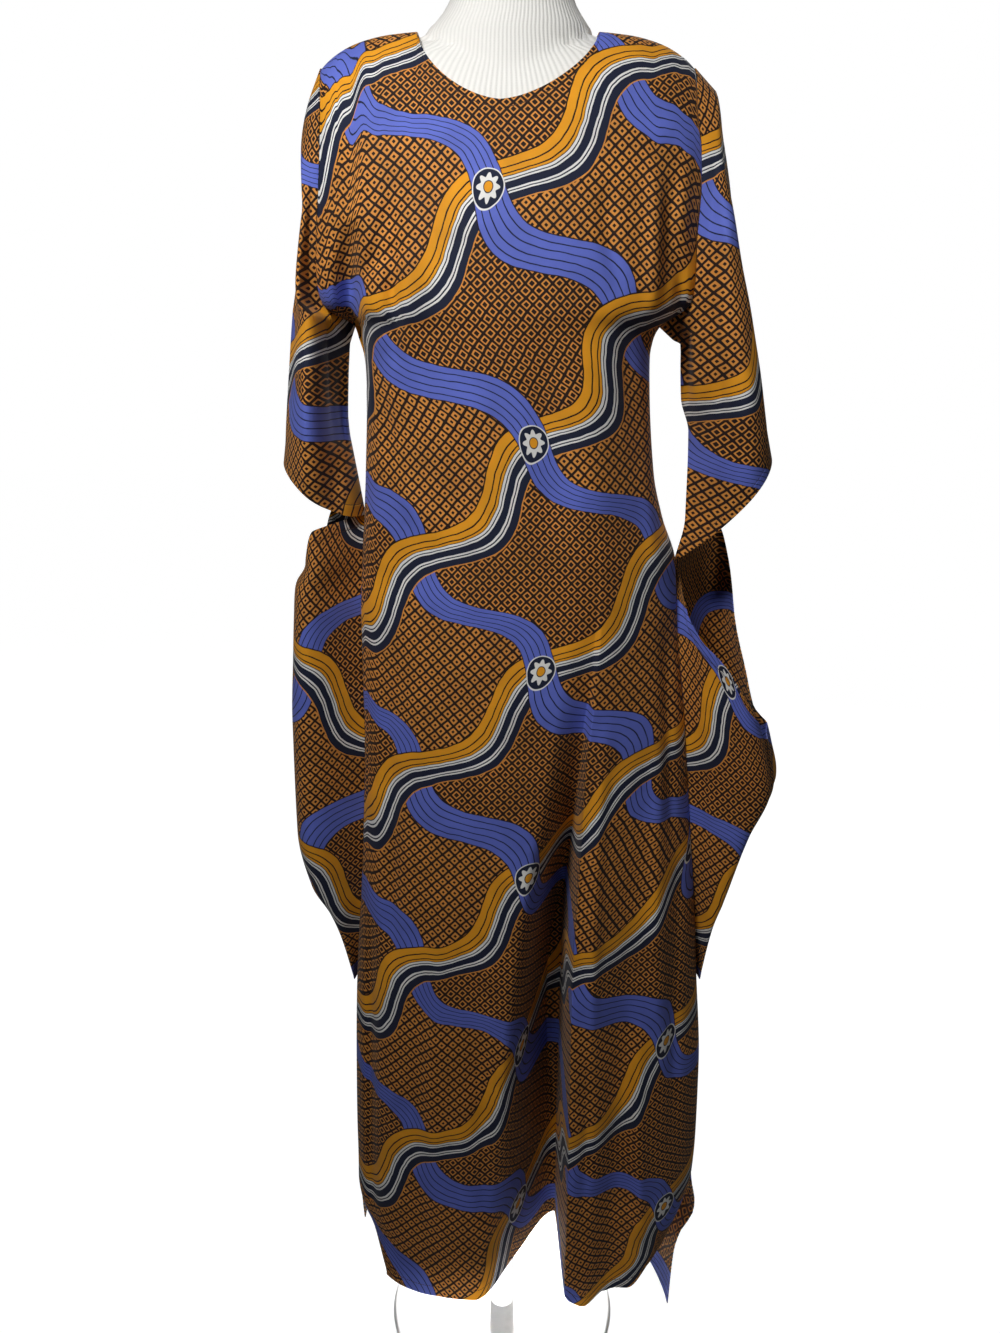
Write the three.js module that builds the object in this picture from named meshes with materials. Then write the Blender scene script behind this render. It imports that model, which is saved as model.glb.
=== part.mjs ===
// A long kaftan dress worn by a limbless dress form on a pole stand.
// Millimetres, +Z up, the front faces -Y. The origin is the centre of the stand's underside.
// Every cloth piece is a thin closed wall lofted through sections; heights are above the floor.

import * as THREE from 'three';

// ---------------------------------------------------------------- driving dimensions

const CLOTH = 1.5; // wall of every cloth piece
const SEAM = 0.3; // gap left where two pieces are sewn together
const FORM_CLEARANCE = 1.5; // between the shoulders of the form and the cloth lying on them

const NECK_POINT_Z = 1577; // where the shoulder seam meets the neck opening
const NECK_HALF_WIDTH = 88;
const FRONT_NECK = { drop: 72, roundness: 1.65 };
const BACK_NECK = { drop: 13, roundness: 2 };
const NECK_LEAN = 8; // the scoop hangs a little to the left of the middle
const NECK_LEAN_CENTRE = 5;
const SHOULDER_END_Z = 1546; // top of the armhole
const UNDERARM_Z = 1303; // bottom of the armhole
const SIDE_SEAM_TOP = 525; // the side drapes end here and the side seams begin
const SLIT_TOP = 246; // below this the front and back hang free of each other

const BASE_RADIUS = 150;
const BASE_EDGE = 7;
const BASE_CROWN = 12;
const BASE_ROLL = 1.5; // radius of the turned edge
const POLE_RADIUS = 16;
const FORM_BOTTOM = 880;

/** Rows with named columns. */
const table = (columns, rows) => rows.map((row) => (
  Object.fromEntries(columns.split(' ').map((name, i) => [name, row[i]]))
));

// Half outlines of the worn dress. left and right are the distances of the panels' side edges
// from the middle plane, flareLeft and flareRight how far the section would run on past those
// edges, front and back its depths, and squareLeft and squareRight how boxy its corners are.
const BODY = table('z left right flareLeft flareRight front back squareLeft squareRight', [
  [1577, 178, 188, -95, -95, 28, 34, 2.4, 2.4],
  [1571, 178, 188, -48, -48, 45, 56, 2.4, 2.4],
  [1561, 178, 188, -20, -20, 56, 71, 2.4, 2.4],
  [1546, 178, 188, 0, 0, 67, 79, 2.4, 2.4],
  [1528, 177, 187, 13, 13, 78, 83, 2.4, 2.4],
  [1505, 176, 187, 20, 20, 90, 86, 2.4, 2.4],
  [1470, 177, 191, 23, 23, 101, 88, 2.4, 2.4],
  [1430, 180, 193, 20, 20, 109, 89, 2.4, 2.4],
  [1385, 184, 191, 18, 18, 115, 88, 2.4, 2.4],
  [1345, 186, 192, 14, 14, 117, 86, 2.4, 2.4],
  [1325, 184, 191, 8, 8, 117, 85, 2.4, 2.4],
  [1313, 172, 180, 3, 3, 117, 84, 2.4, 2.4],
  [1303, 156, 165, 0, 0, 116, 82, 2.3, 2.3],
  [1290, 152, 158, 0, 0, 115, 80, 2.3, 2.3],
  [1272, 147, 155, 0, 0, 114, 79, 2.3, 2.3],
  [1240, 145, 156, 0, 0, 112, 78, 2.3, 2.3],
  [1150, 149, 164, 0, 0, 109, 80, 2.3, 2.3],
  [1104, 152, 175, 0, 0, 109, 82, 2.3, 2.3],
  [1052, 154, 192, 3, 0, 110, 85, 2.3, 2.2],
  [1000, 156, 193, 6, 4, 112, 90, 2.3, 2.2],
  [880, 156, 206, 7, 7, 116, 100, 2.4, 2.1],
  [740, 162, 220, 6, 7, 122, 106, 2.4, 2.0],
  [650, 169, 230, 3, 4, 127, 109, 2.4, 2.0],
  [525, 181, 243, 0, 0, 134, 111, 2.4, 1.9],
  [400, 186, 252, 0, 0, 142, 114, 2.4, 1.9],
  [300, 188, 253, 0, 0, 148, 117, 2.4, 1.9],
  [246, 188, 250, 1, 1, 151, 119, 2.4, 1.9],
  [205, 161, 222, 22, 20, 154, 120, 2.4, 1.9],
  [165, 146, 184, 35, 54, 156, 121, 2.5, 1.9],
]);

// The heights of the panels' rows at their side edges. Rows level out below the yoke, rise to
// the shoulders and neck at the top, and follow the hem at the bottom.
const ROW_HEIGHTS = [
  1546, 1544, 1539, 1530, 1515, 1495, 1465, 1430, 1385, 1345, 1325, 1313, 1303, 1290, 1272,
  1240, 1195, 1150, 1104, 1052, 1000, 940, 880, 810, 740, 650, 590, 525, 460, 390, 320, 246,
  205, 165,
];
const YOKE_DEPTH = 190; // rows are level this far below the shoulder ends
const HEM_RISE = 230; // rows start to follow the hem this far above it

// The deep fold that hangs down the front and lets the right part of the skirt lap over the
// left: its line, how far back it reaches and how wide its left slope is.
const CASCADE = table('z x depth slope', [
  [1330, 60, 0, 30],
  [1180, 84, 0, 30],
  [1040, 97, 2, 30],
  [956, 94, 8, 32],
  [880, 87, 20, 36],
  [800, 82, 38, 44],
  [696, 77, 66, 56],
  [578, 72, 98, 66],
  [440, 71, 114, 78],
  [300, 70, 124, 90],
  [165, 69, 131, 104],
]);
const CASCADE_EDGE = 9; // width of the cascade's steep right side
const CASCADE_COLUMN = 0.575; // which part of the front's width carries its line
const CASCADE_REACH = 0.3; // how far to each side of it the columns follow it
const CASCADE_START = 150; // the columns come over to it within this height

// Softer folds: each runs from (topX, topZ) to (footX, footZ) and is depth deep, or raised where
// depth is negative. It fades in over its first part, and where fades is 1 out again.
const FOLD_COLUMNS = 'topX topZ footX footZ width depth fades';
const FRONT_FOLDS = table(FOLD_COLUMNS, [
  [84, 1330, 104, 830, 30, -9, 1],
  [-58, 840, 4, 165, 20, 8, 0],
  [152, 900, 134, 165, 24, 19, 0],
  [-100, 760, -104, 165, 24, 5, 0],
]);
const BACK_FOLDS = table(FOLD_COLUMNS, [
  [-98, 1180, -112, 120, 27, 24, 0],
  [-38, 1000, -46, 120, 24, 34, 0],
  [12, 1240, 26, 120, 28, 26, 0],
  [74, 1040, 96, 120, 30, 42, 0],
  [128, 1120, 168, 120, 26, 26, 0],
]);
const FOLD_GROWTH = 0.8; // a fold that stays reaches its depth over this share of its height
const FULL_FOLD_DEPTH = 60; // nearer than this to the middle plane, folds flatten out

// Lower edges, as heights across each panel from its left edge (at 0) to its right edge (at 1).
const FRONT_HEM = table('at z', [
  [0, 158], [0.12, 155], [0.22, 163], [0.45, 170], [0.57, 178], [0.62, 158], [0.72, 142],
  [0.8, 144], [0.84, 140], [0.92, 141], [1, 166],
]);
const BACK_HEM = table('at z', [
  [0, 148], [0.06, 160], [0.2, 168], [0.6, 170], [0.8, 144], [0.93, 76], [1, 48],
]);
// Below the slits the back panel's own side edges, as in BODY, and how far its right corner
// swings back, or forward where lean is negative.
const BACK_EDGES = table('z left right flareLeft flareRight lean', [
  [246, 188, 250, 1, 1, 0],
  [205, 189, 254, 0, 0, 0],
  [180, 188, 258, 0, 0, -6],
  [162, 187, 254, 0, 0, -12],
  [148, 186, 240, 0, 0, -20],
  [120, 184, 229, 0, 0, -30],
  [48, 182, 222, 0, 0, -45],
]);
const LEAN_POWER = 3; // the swing grows towards the right edge by this power

// Sections of the sleeves from the armhole to the hand opening: outer and inner points in the
// plane of the shoulders, and how far the sleeve stands out to the front and back. follow is
// how much of the armhole's own shape is left behind.
const SLEEVE_COLUMNS = 'outerX outerZ innerX innerZ depth follow';
const LEFT_SLEEVE = table(SLEEVE_COLUMNS, [
  [178, 1546, 156, 1303, 60, 0],
  [190, 1520, 163, 1286, 67, 0.15],
  [198, 1484, 165, 1270, 73, 0.75],
  [197, 1438, 167, 1248, 79, 1],
  [202, 1385, 168, 1222, 83, 1],
  [210, 1330, 167, 1196, 84, 1],
  [218, 1274, 163, 1168, 82, 1],
  [227, 1218, 158, 1137, 76, 1],
  [236, 1164, 152.8, 1104, 64, 1],
]);
const RIGHT_SLEEVE = table(SLEEVE_COLUMNS, [
  [188, 1546, 165, 1303, 62, 0],
  [209, 1526, 180, 1290, 69, 0.2],
  [216, 1490, 189, 1284, 74, 0.75],
  [225, 1446, 190, 1260, 80, 1],
  [234, 1392, 192, 1228, 84, 1],
  [246, 1336, 202, 1192, 86, 1],
  [259, 1280, 203, 1148, 86, 1],
  [272, 1226, 203, 1100, 82, 1],
  [287, 1172, 193, 1052, 70, 1],
]);
const SLEEVE_BOX = 0.42; // below 1 a sleeve's section is full towards its outer edge
const SLEEVE_STAND_OFF = 3.4; // each section stays this much further out of the armhole
const SLEEVE_CLEAR_BELOW = 20; // and does so down to this far below the underarm
const SLEEVE_DROP = 5; // the cloth turns down this much just beyond the armhole seam
// At the hand opening: how late its edge climbs to the sleeve's corner, and how full it is.
const LEFT_RIM = { climb: 1.2, box: 0.75 };
const RIGHT_RIM = { climb: 0.5, box: 0.42 };

// Sections of the side drapes by height: how far out they hang and how deep they are.
const DRAPE_COLUMNS = 'z outer depth';
const LEFT_DRAPE = table(DRAPE_COLUMNS, [
  [1104, 219, 74],
  [1060, 216, 75],
  [1030, 229, 75],
  [1000, 232, 75],
  [950, 236, 74],
  [880, 241, 72],
  [740, 243, 66],
  [670, 231, 54],
  [630, 211, 42],
  [590, 199, 28],
  [525, 185, 14],
]);
const RIGHT_DRAPE = table(DRAPE_COLUMNS, [
  [1090, 278, 84],
  [1052, 275, 84],
  [990, 275, 80],
  [900, 292, 76],
  [840, 309, 74],
  [798, 318, 70],
  [740, 297, 62],
  [670, 276, 50],
  [600, 256, 32],
  [525, 246, 14],
]);
// The upper edges of the drapes round the hand openings, from the front seam (-1) past the
// outermost point (0) to the back seam (1).
const LEFT_OPENING = table('at z', [
  [-1, 1103.7], [-0.8, 1102], [-0.55, 1098], [-0.35, 1070], [0, 1028],
  [0.35, 1070], [0.55, 1098], [0.8, 1102], [1, 1103.7],
]);
const RIGHT_OPENING = table('at z', [
  [-1, 1051.5], [-0.94, 995], [-0.67, 945], [-0.5, 908], [-0.15, 853], [0, 862], [0.1, 905],
  [0.2, 990], [0.3, 1037], [0.45, 1075], [0.6, 1092], [0.72, 1086], [0.85, 1065.5], [1, 1051.5],
]);
const OPENING_REACH = 330; // the drapes' rows follow the opening's edge this far down
const DRAPE_STAND_OUT = 3; // the outer fold stays at least this far outside the panels' edges
const DRAPE_SEAM_DEPTH = 1.5; // the seams stay at least this far apart
const DRAPE_SEAM_POWER = 3; // how closely the sheet keeps to its seams' depth
const DRAPE_PARTS = 18;

// Sections of the dress form below its shoulders, and of its neck.
const FORM = table('z half front back', [
  [1500, 168, 82, 70],
  [1465, 158, 91, 74],
  [1430, 147, 99, 75],
  [1385, 141, 106, 74],
  [1340, 138, 108, 72],
  [1300, 132, 104, 69],
  [1240, 117, 92, 67],
  [1180, 106, 82, 68],
  [1120, 115, 86, 74],
  [1050, 131, 94, 80],
  [980, 141, 99, 84],
  [930, 143, 100, 85],
  [FORM_BOTTOM, 140, 97, 82],
]);
const FORM_NECK = table('z half depth middle', [
  [1700, 54, 47, 9],
  [1650, 55, 48, 9],
  [1625, 57, 50, 9],
  [1608, 60, 53, 9],
  [1599, 64.5, 55, 8.5],
  [1590, 71, 57, 8],
  [1583, 77, 59, 7],
  [1577, 82, 61, 6],
  [1570, 84, 62, 5],
  [1540, 82, 67, 5],
  [1500, 81, 70, 5],
  [1470, 70, 61, 5],
  [1430, 40, 35, 5],
]);
const FORM_ROWS = [
  1700, 1675, 1650, 1628, 1613, 1603, 1595, 1588, 1582, 1577, 1572, 1569, 1565, 1560, 1552,
  1543, 1528, 1508, 1480, 1445, 1405, 1360, 1310, 1260, 1210, 1160, 1105, 1050, 990, 930,
  FORM_BOTTOM,
];
const FORM_SIDES = 40;
const FORM_SQUARE = 2.4; // how boxy the torso's section is
const FORM_FREE_Z = 1540; // below this the torso narrows from the cloth's outline to its own
const FORM_FREE_DEPTH = 60; // within this height
const NECK_DIP = 3.4; // beside the neck the shoulders lie this much further below the cloth
const NECK_DIP_Z = 1550; // from here up
const NECK_DIP_RISE = 14; // within this height
const FORM_MIDDLE = 5; // the torso stands this far to the right of the middle plane

// ---------------------------------------------------------------- curves through tables

/** The value of a table's column at a key, on a smooth curve that never overshoots its rows. */
function along(rows, key, column, at) {
  const sign = rows[1][key] > rows[0][key] ? 1 : -1;
  const last = rows.length - 1;
  if (sign * (at - rows[0][key]) <= 0) return rows[0][column];
  if (sign * (at - rows[last][key]) >= 0) return rows[last][column];
  let i = 0;
  while (sign * (at - rows[i + 1][key]) > 0) i += 1;
  const slope = (j) => (rows[j + 1][column] - rows[j][column]) / (rows[j + 1][key] - rows[j][key]);
  const tangent = (j) => {
    if (j === 0) return slope(0);
    if (j === last) return slope(last - 1);
    const before = slope(j - 1);
    const after = slope(j);
    return before * after <= 0 ? 0 : (2 * before * after) / (before + after);
  };
  const span = rows[i + 1][key] - rows[i][key];
  const t = (at - rows[i][key]) / span;
  return rows[i][column] * (1 + 2 * t) * (1 - t) ** 2
    + rows[i + 1][column] * t * t * (3 - 2 * t)
    + tangent(i) * span * t * (1 - t) ** 2
    + tangent(i + 1) * span * t * t * (t - 1);
}

const mix = (a, b, t) => a + (b - a) * t;
const clamp01 = (t) => Math.min(1, Math.max(0, t));
const ease = (t) => clamp01(t) ** 2 * (3 - 2 * clamp01(t));
const body = (z, column) => along(BODY, 'z', column, z);

// ---------------------------------------------------------------- the worn outline

const SHOULDER_MIDDLE = (body(SHOULDER_END_Z, 'right') - body(SHOULDER_END_Z, 'left')) / 2;
const SHOULDER_HALF = (body(SHOULDER_END_Z, 'right') + body(SHOULDER_END_Z, 'left')) / 2;

/** Side edges of the back panel, which hang free below the slits. */
function freedBack(z, column) {
  const freed = z < SLIT_TOP && column in BACK_EDGES[0];
  return freed ? along(BACK_EDGES, 'z', column, z) : body(z, column);
}

/** Depth of the worn section in front of (or behind) the middle plane, at (x, z). */
function sectionDepth(x, z, face, edges = body) {
  const left = edges(z, 'left');
  const right = edges(z, 'right');
  const middle = (right - left) / 2;
  const half = (right + left) / 2;
  const side = x < middle ? 'Left' : 'Right';
  const reach = half + edges(z, `flare${side}`);
  const square = body(z, `square${side}`);
  const across = Math.min(1, Math.abs(x - middle) / reach);
  return body(z, face) * (1 - across ** square) ** (1 / square);
}

/** Height of the shoulder line at x, found where the section's depth falls to nothing. */
function shoulderHeight(x) {
  let low = SHOULDER_END_Z;
  let high = NECK_POINT_Z;
  for (let step = 0; step < 40; step += 1) {
    const z = (low + high) / 2;
    if (SHOULDER_HALF + body(z, 'flareLeft') > Math.abs(x - SHOULDER_MIDDLE)) low = z;
    else high = z;
  }
  return low;
}

/** Height of the neck edge at x, or of the shoulder line beside it. */
function topHeight(x, { drop, roundness }) {
  const across = Math.abs(x - SHOULDER_MIDDLE) / NECK_HALF_WIDTH;
  if (across >= 1) return shoulderHeight(x);
  return NECK_POINT_Z - drop * (1 - across ** roundness) ** (1 / roundness);
}

/** How far a soft fold pushes the cloth in at (x, z). */
function foldDepth(fold, x, z) {
  const down = (fold.topZ - z) / (fold.topZ - fold.footZ);
  if (down <= 0) return 0;
  if (fold.fades && down >= 1) return 0;
  const line = mix(fold.topX, fold.footX, Math.min(1, down));
  const strength = fold.fades ? Math.sin(Math.PI * down) : ease(down / FOLD_GROWTH);
  return fold.depth * strength * Math.exp(-(((x - line) / fold.width) ** 2));
}

/** How far the cascade's fold reaches back at (x, z). */
function cascadeDepth(x, z) {
  const line = along(CASCADE, 'z', 'x', z);
  const depth = along(CASCADE, 'z', 'depth', z);
  const slope = along(CASCADE, 'z', 'slope', z);
  const width = x < line ? slope : CASCADE_EDGE;
  return depth * ease(1 - Math.abs(x - line) / width);
}

// ---------------------------------------------------------------- panels

/** Column positions, 0 to 1, evenly spaced between anchors that stay on a feature. */
function columnsBetween(anchors, counts) {
  const columns = [anchors[0]];
  counts.forEach((count, i) => {
    for (let j = 1; j <= count; j += 1) columns.push(mix(anchors[i], anchors[i + 1], j / count));
  });
  return columns;
}

/** Rows and columns of points for the front (face -1) or back (face 1) panel. */
function panelGrid(face, columns, neck, hem, folds, edges) {
  const frontal = face < 0;
  const depthName = frontal ? 'front' : 'back';
  const topRow = ROW_HEIGHTS[0];
  const bottomRow = ROW_HEIGHTS[ROW_HEIGHTS.length - 1];
  return ROW_HEIGHTS.map((level) => columns.map((u) => {
    const topX = mix(-body(topRow, 'left'), body(topRow, 'right'), u);
    const toTop = ease(1 - (topRow - level) / YOKE_DEPTH);
    const toHem = ease(1 - (level - bottomRow) / HEM_RISE);
    const z = level
      + (topHeight(topX, neck) - topRow) * toTop
      + (along(hem, 'at', 'z', u) - bottomRow) * toHem;
    const edgeZ = Math.min(z, topRow);
    let x = mix(-edges(edgeZ, 'left'), edges(edgeZ, 'right'), u);
    if (frontal) {
      const columnX = mix(-edges(z, 'left'), edges(z, 'right'), CASCADE_COLUMN);
      const drift = along(CASCADE, 'z', 'x', z) - columnX;
      const started = ease((CASCADE[0].z - z) / CASCADE_START);
      x += drift * started * ease(1 - Math.abs(u - CASCADE_COLUMN) / CASCADE_REACH);
      const lean = Math.max(0, 1 - ((topX - NECK_LEAN_CENTRE) / NECK_HALF_WIDTH) ** 2);
      x -= NECK_LEAN * toTop * lean;
    }
    let depth = sectionDepth(x, z, depthName, edges);
    if (frontal) depth -= cascadeDepth(x, z);
    folds.forEach((fold) => {
      depth -= foldDepth(fold, x, z) * Math.min(1, depth / FULL_FOLD_DEPTH);
    });
    if (!frontal && z < SLIT_TOP) depth += along(BACK_EDGES, 'z', 'lean', z) * u ** LEAN_POWER;
    return new THREE.Vector3(x, face * depth, z);
  }));
}

const NECK_SHARE = NECK_HALF_WIDTH / (2 * SHOULDER_HALF);
const NECK_COLUMNS = [0.5 - NECK_SHARE, 0.5 + NECK_SHARE];
const NECK_TURN = 0.02; // columns close up this near to the neck points

function frontGrid() {
  const columns = columnsBetween(
    [
      0, NECK_COLUMNS[0], NECK_COLUMNS[0] + NECK_TURN,
      CASCADE_COLUMN, CASCADE_COLUMN + 0.013, CASCADE_COLUMN + 0.028,
      NECK_COLUMNS[1] - NECK_TURN, NECK_COLUMNS[1], 1,
    ],
    [7, 2, 10, 1, 1, 4, 2, 9],
  );
  return panelGrid(-1, columns, FRONT_NECK, FRONT_HEM, FRONT_FOLDS, body);
}

function backGrid() {
  const columns = columnsBetween([0, ...NECK_COLUMNS, 1], [7, 14, 8]);
  return panelGrid(1, columns, BACK_NECK, BACK_HEM, BACK_FOLDS, freedBack);
}

// ---------------------------------------------------------------- sleeves and side drapes

/** Rings of a sleeve, from the armhole down to the hand opening. side is -1 left, 1 right. */
function sleeveGrid(side, sections, edgeName, rim) {
  const heights = ROW_HEIGHTS.filter((z) => z >= UNDERARM_Z);
  const first = sections[0];
  const ringParts = [
    ...heights.map((z) => ({ z, face: -1 })),
    ...heights.slice(1, -1).reverse().map((z) => ({ z, face: 1 })),
  ];
  const armhole = ringParts.map(({ z, face }) => {
    const edge = body(z, edgeName);
    const y = face * sectionDepth(side * edge, z, face < 0 ? 'front' : 'back');
    return new THREE.Vector3(side * (edge + SEAM), y, z);
  });
  const turn = new THREE.Vector3(side * SLEEVE_STAND_OFF, 0, -SLEEVE_DROP);
  const collar = armhole.map((p) => p.clone().add(turn));
  const tube = sections.slice(1).map((section, k) => armhole.map((start, j) => {
    const up = (start.z - first.innerZ) / (first.outerZ - first.innerZ);
    const angle = Math.acos(2 * up - 1);
    const nearRim = ease((k - 1) / (sections.length - 3));
    const climb = mix(1, rim.climb, nearRim);
    const box = mix(SLEEVE_BOX, rim.box, nearRim);
    const z = mix(section.innerZ, section.outerZ, up ** climb);
    const tubeX = mix(section.innerX, section.outerX, up ** box);
    const edge = body(Math.min(z, SHOULDER_END_Z), edgeName);
    const clearX = edge + SEAM + SLEEVE_STAND_OFF * (k + 2);
    const x = z > UNDERARM_Z - SLEEVE_CLEAR_BELOW ? Math.max(tubeX, clearX) : tubeX;
    const y = mix(start.y, ringParts[j].face * section.depth * Math.sin(angle), section.follow);
    return new THREE.Vector3(side * x, y, z);
  }));
  return [armhole, collar, ...tube];
}

/** The sheet of a side drape, from the front seam round its outer fold to the back seam. */
function drapeGrid(side, sections, edgeName, opening) {
  const top = Math.ceil(opening[0].z);
  const levels = ROW_HEIGHTS.filter((z) => z <= top && z >= SIDE_SEAM_TOP);
  return levels.map((level) => {
    const row = [];
    const nearRim = ease(1 - (top - level) / OPENING_REACH);
    for (let j = 0; j <= DRAPE_PARTS; j += 1) {
      const at = -1 + (2 * j) / DRAPE_PARTS;
      const rimZ = level + (along(opening, 'at', 'z', at) - top) * nearRim;
      const z = Math.max(rimZ, SIDE_SEAM_TOP);
      const edge = body(z, edgeName);
      const outer = Math.max(along(sections, 'z', 'outer', z), edge + DRAPE_STAND_OUT);
      const out = (1 + Math.cos(Math.PI * at)) / 2;
      const x = mix(edge + SEAM, outer, out ** SLEEVE_BOX);
      const face = Math.sign(at);
      const panelDepth = sectionDepth(side * edge, z, face < 0 ? 'front' : 'back');
      const seamY = Math.max(DRAPE_SEAM_DEPTH, panelDepth) * Math.abs(at) ** DRAPE_SEAM_POWER;
      const y = along(sections, 'z', 'depth', z) * Math.sin(Math.PI * at) + face * seamY;
      row.push(new THREE.Vector3(side * x, y, z));
    }
    return row;
  });
}

// ---------------------------------------------------------------- closed solids

/** Unit normals of a grid of points, from the cross product of its two directions. */
function gridNormals(grid, closed, flip) {
  const rows = grid.length;
  const count = grid[0].length;
  const wrap = (j) => (closed ? (j + count) % count : Math.min(count - 1, Math.max(0, j)));
  return grid.map((row, i) => row.map((_, j) => {
    const below = grid[Math.min(rows - 1, i + 1)][j];
    const above = grid[Math.max(0, i - 1)][j];
    const down = new THREE.Vector3().subVectors(below, above);
    const across = new THREE.Vector3().subVectors(row[wrap(j + 1)], row[wrap(j - 1)]);
    return new THREE.Vector3().crossVectors(down, across).normalize().multiplyScalar(flip);
  }));
}

/** A closed wall on a grid of outer points: a sheet, or a tube open at both ends if closed. */
function clothWall(grid, { closed, flip, keep }) {
  const normals = gridNormals(grid, closed, flip);
  const rows = grid.length;
  const count = grid[0].length;
  const positions = [];
  const indices = [];
  const outer = (i, j) => (i * count + (j % count)) * 2;
  const inner = (i, j) => outer(i, j) + 1;
  grid.forEach((row, i) => row.forEach((point, j) => {
    const inside = point.clone().addScaledVector(normals[i][j], -CLOTH);
    [point.clone(), inside].forEach((p) => {
      keep(p, i, j);
      positions.push(p.x, p.y, p.z);
    });
  }));
  const quad = (a, b, c, d) => {
    if (flip > 0) indices.push(a, b, c, a, c, d);
    else indices.push(a, c, b, a, d, c);
  };
  const spans = closed ? count : count - 1;
  for (let i = 0; i < rows - 1; i += 1) {
    for (let j = 0; j < spans; j += 1) {
      quad(outer(i, j), outer(i + 1, j), outer(i + 1, j + 1), outer(i, j + 1));
      quad(inner(i, j), inner(i, j + 1), inner(i + 1, j + 1), inner(i + 1, j));
    }
  }
  for (let j = 0; j < spans; j += 1) {
    quad(outer(0, j), outer(0, j + 1), inner(0, j + 1), inner(0, j));
    quad(outer(rows - 1, j), inner(rows - 1, j), inner(rows - 1, j + 1), outer(rows - 1, j + 1));
  }
  if (!closed) {
    const last = count - 1;
    for (let i = 0; i < rows - 1; i += 1) {
      quad(outer(i, 0), inner(i, 0), inner(i + 1, 0), outer(i + 1, 0));
      quad(outer(i, last), outer(i + 1, last), inner(i + 1, last), inner(i, last));
    }
  }
  return meshGeometry(positions, indices);
}

/** A solid through closed rings, with flat ends. */
function ringSolid(rings) {
  const count = rings[0].length;
  const positions = rings.flat().flatMap((p) => [p.x, p.y, p.z]);
  const indices = [];
  for (let i = 0; i < rings.length - 1; i += 1) {
    for (let j = 0; j < count; j += 1) {
      const a = i * count + j;
      const b = i * count + ((j + 1) % count);
      indices.push(a, a + count, b + count, a, b + count, b);
    }
  }
  const lastRing = (rings.length - 1) * count;
  for (let j = 1; j < count - 1; j += 1) {
    indices.push(0, j, j + 1);
    indices.push(lastRing, lastRing + j + 1, lastRing + j);
  }
  return meshGeometry(positions, indices);
}

function meshGeometry(positions, indices) {
  const geometry = new THREE.BufferGeometry();
  geometry.setAttribute('position', new THREE.Float32BufferAttribute(positions, 3));
  geometry.setIndex(indices);
  geometry.computeVertexNormals();
  return geometry;
}

// ---------------------------------------------------------------- dress form and stand

/** Radius of a boxy oval in one direction. A square of 2 is an ellipse. */
function ovalRadius(angle, half, depth, square) {
  const across = Math.abs(Math.cos(angle)) / half;
  const deep = Math.abs(Math.sin(angle)) / depth;
  return (across ** square + deep ** square) ** (-1 / square);
}

/** Rings of the covered torso: its shoulders lie just under the cloth's. */
function formRings() {
  return FORM_ROWS.map((z) => {
    const lift = CLOTH + FORM_CLEARANCE + NECK_DIP * ease((z - NECK_DIP_Z) / NECK_DIP_RISE);
    const under = (column) => body(z + lift, column);
    const clothHalf = (under('left') + under('right')) / 2 + under('flareLeft') - lift;
    const own = ease((FORM_FREE_Z - z) / FORM_FREE_DEPTH);
    const ownSize = (cloth, column) => mix(cloth, Math.min(cloth, along(FORM, 'z', column, z)), own);
    const half = ownSize(clothHalf, 'half');
    const covered = z + lift < NECK_POINT_Z - 1;
    const neckHalf = along(FORM_NECK, 'z', 'half', z);
    const neckDepth = along(FORM_NECK, 'z', 'depth', z);
    const middle = Math.max(FORM_MIDDLE, along(FORM_NECK, 'z', 'middle', z));
    const ring = [];
    for (let j = 0; j < FORM_SIDES; j += 1) {
      const angle = (2 * Math.PI * j) / FORM_SIDES;
      const face = Math.sin(angle) < 0 ? 'front' : 'back';
      const depth = ownSize(under(face) - lift, face);
      const torso = covered ? ovalRadius(angle, half, depth, FORM_SQUARE) : 0;
      const radius = Math.max(torso, ovalRadius(angle, neckHalf, neckDepth, 2));
      ring.push(new THREE.Vector3(middle + radius * Math.cos(angle), radius * Math.sin(angle), z));
    }
    return ring;
  });
}

function standBase() {
  const profile = [
    new THREE.Vector2(0, 0),
    new THREE.Vector2(BASE_RADIUS - BASE_ROLL, 0),
    new THREE.Vector2(BASE_RADIUS, BASE_ROLL),
    new THREE.Vector2(BASE_RADIUS, BASE_EDGE - BASE_ROLL),
    new THREE.Vector2(BASE_RADIUS - 2 * BASE_ROLL, BASE_EDGE),
    new THREE.Vector2(BASE_RADIUS * 0.6, BASE_EDGE + 2.5),
    new THREE.Vector2(POLE_RADIUS + 14, BASE_CROWN),
    new THREE.Vector2(0, BASE_CROWN),
  ];
  const geometry = new THREE.LatheGeometry(profile, 40);
  geometry.rotateX(Math.PI / 2);
  return geometry;
}

function standPole() {
  const height = FORM_BOTTOM - BASE_CROWN - 2 * SEAM;
  const geometry = new THREE.CylinderGeometry(POLE_RADIUS, POLE_RADIUS, height, 24);
  geometry.rotateX(Math.PI / 2);
  geometry.translate(0, 0, BASE_CROWN + SEAM + height / 2);
  return geometry;
}

// ---------------------------------------------------------------- the object

const finish = (color, roughness, metalness) => (
  new THREE.MeshStandardMaterial({ color, roughness, metalness })
);
const printedCotton = finish(0x8a5426, 0.82, 0);
const bluePrint = finish(0x5a66b8, 0.82, 0);
const knitCover = finish(0xe9e6de, 0.9, 0);
const whiteMetal = finish(0xe6e6e4, 0.35, 0.1);

const dress = new THREE.Group();

function add(name, geometry, material) {
  const mesh = new THREE.Mesh(geometry, material);
  mesh.name = name;
  dress.add(mesh);
}

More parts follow.
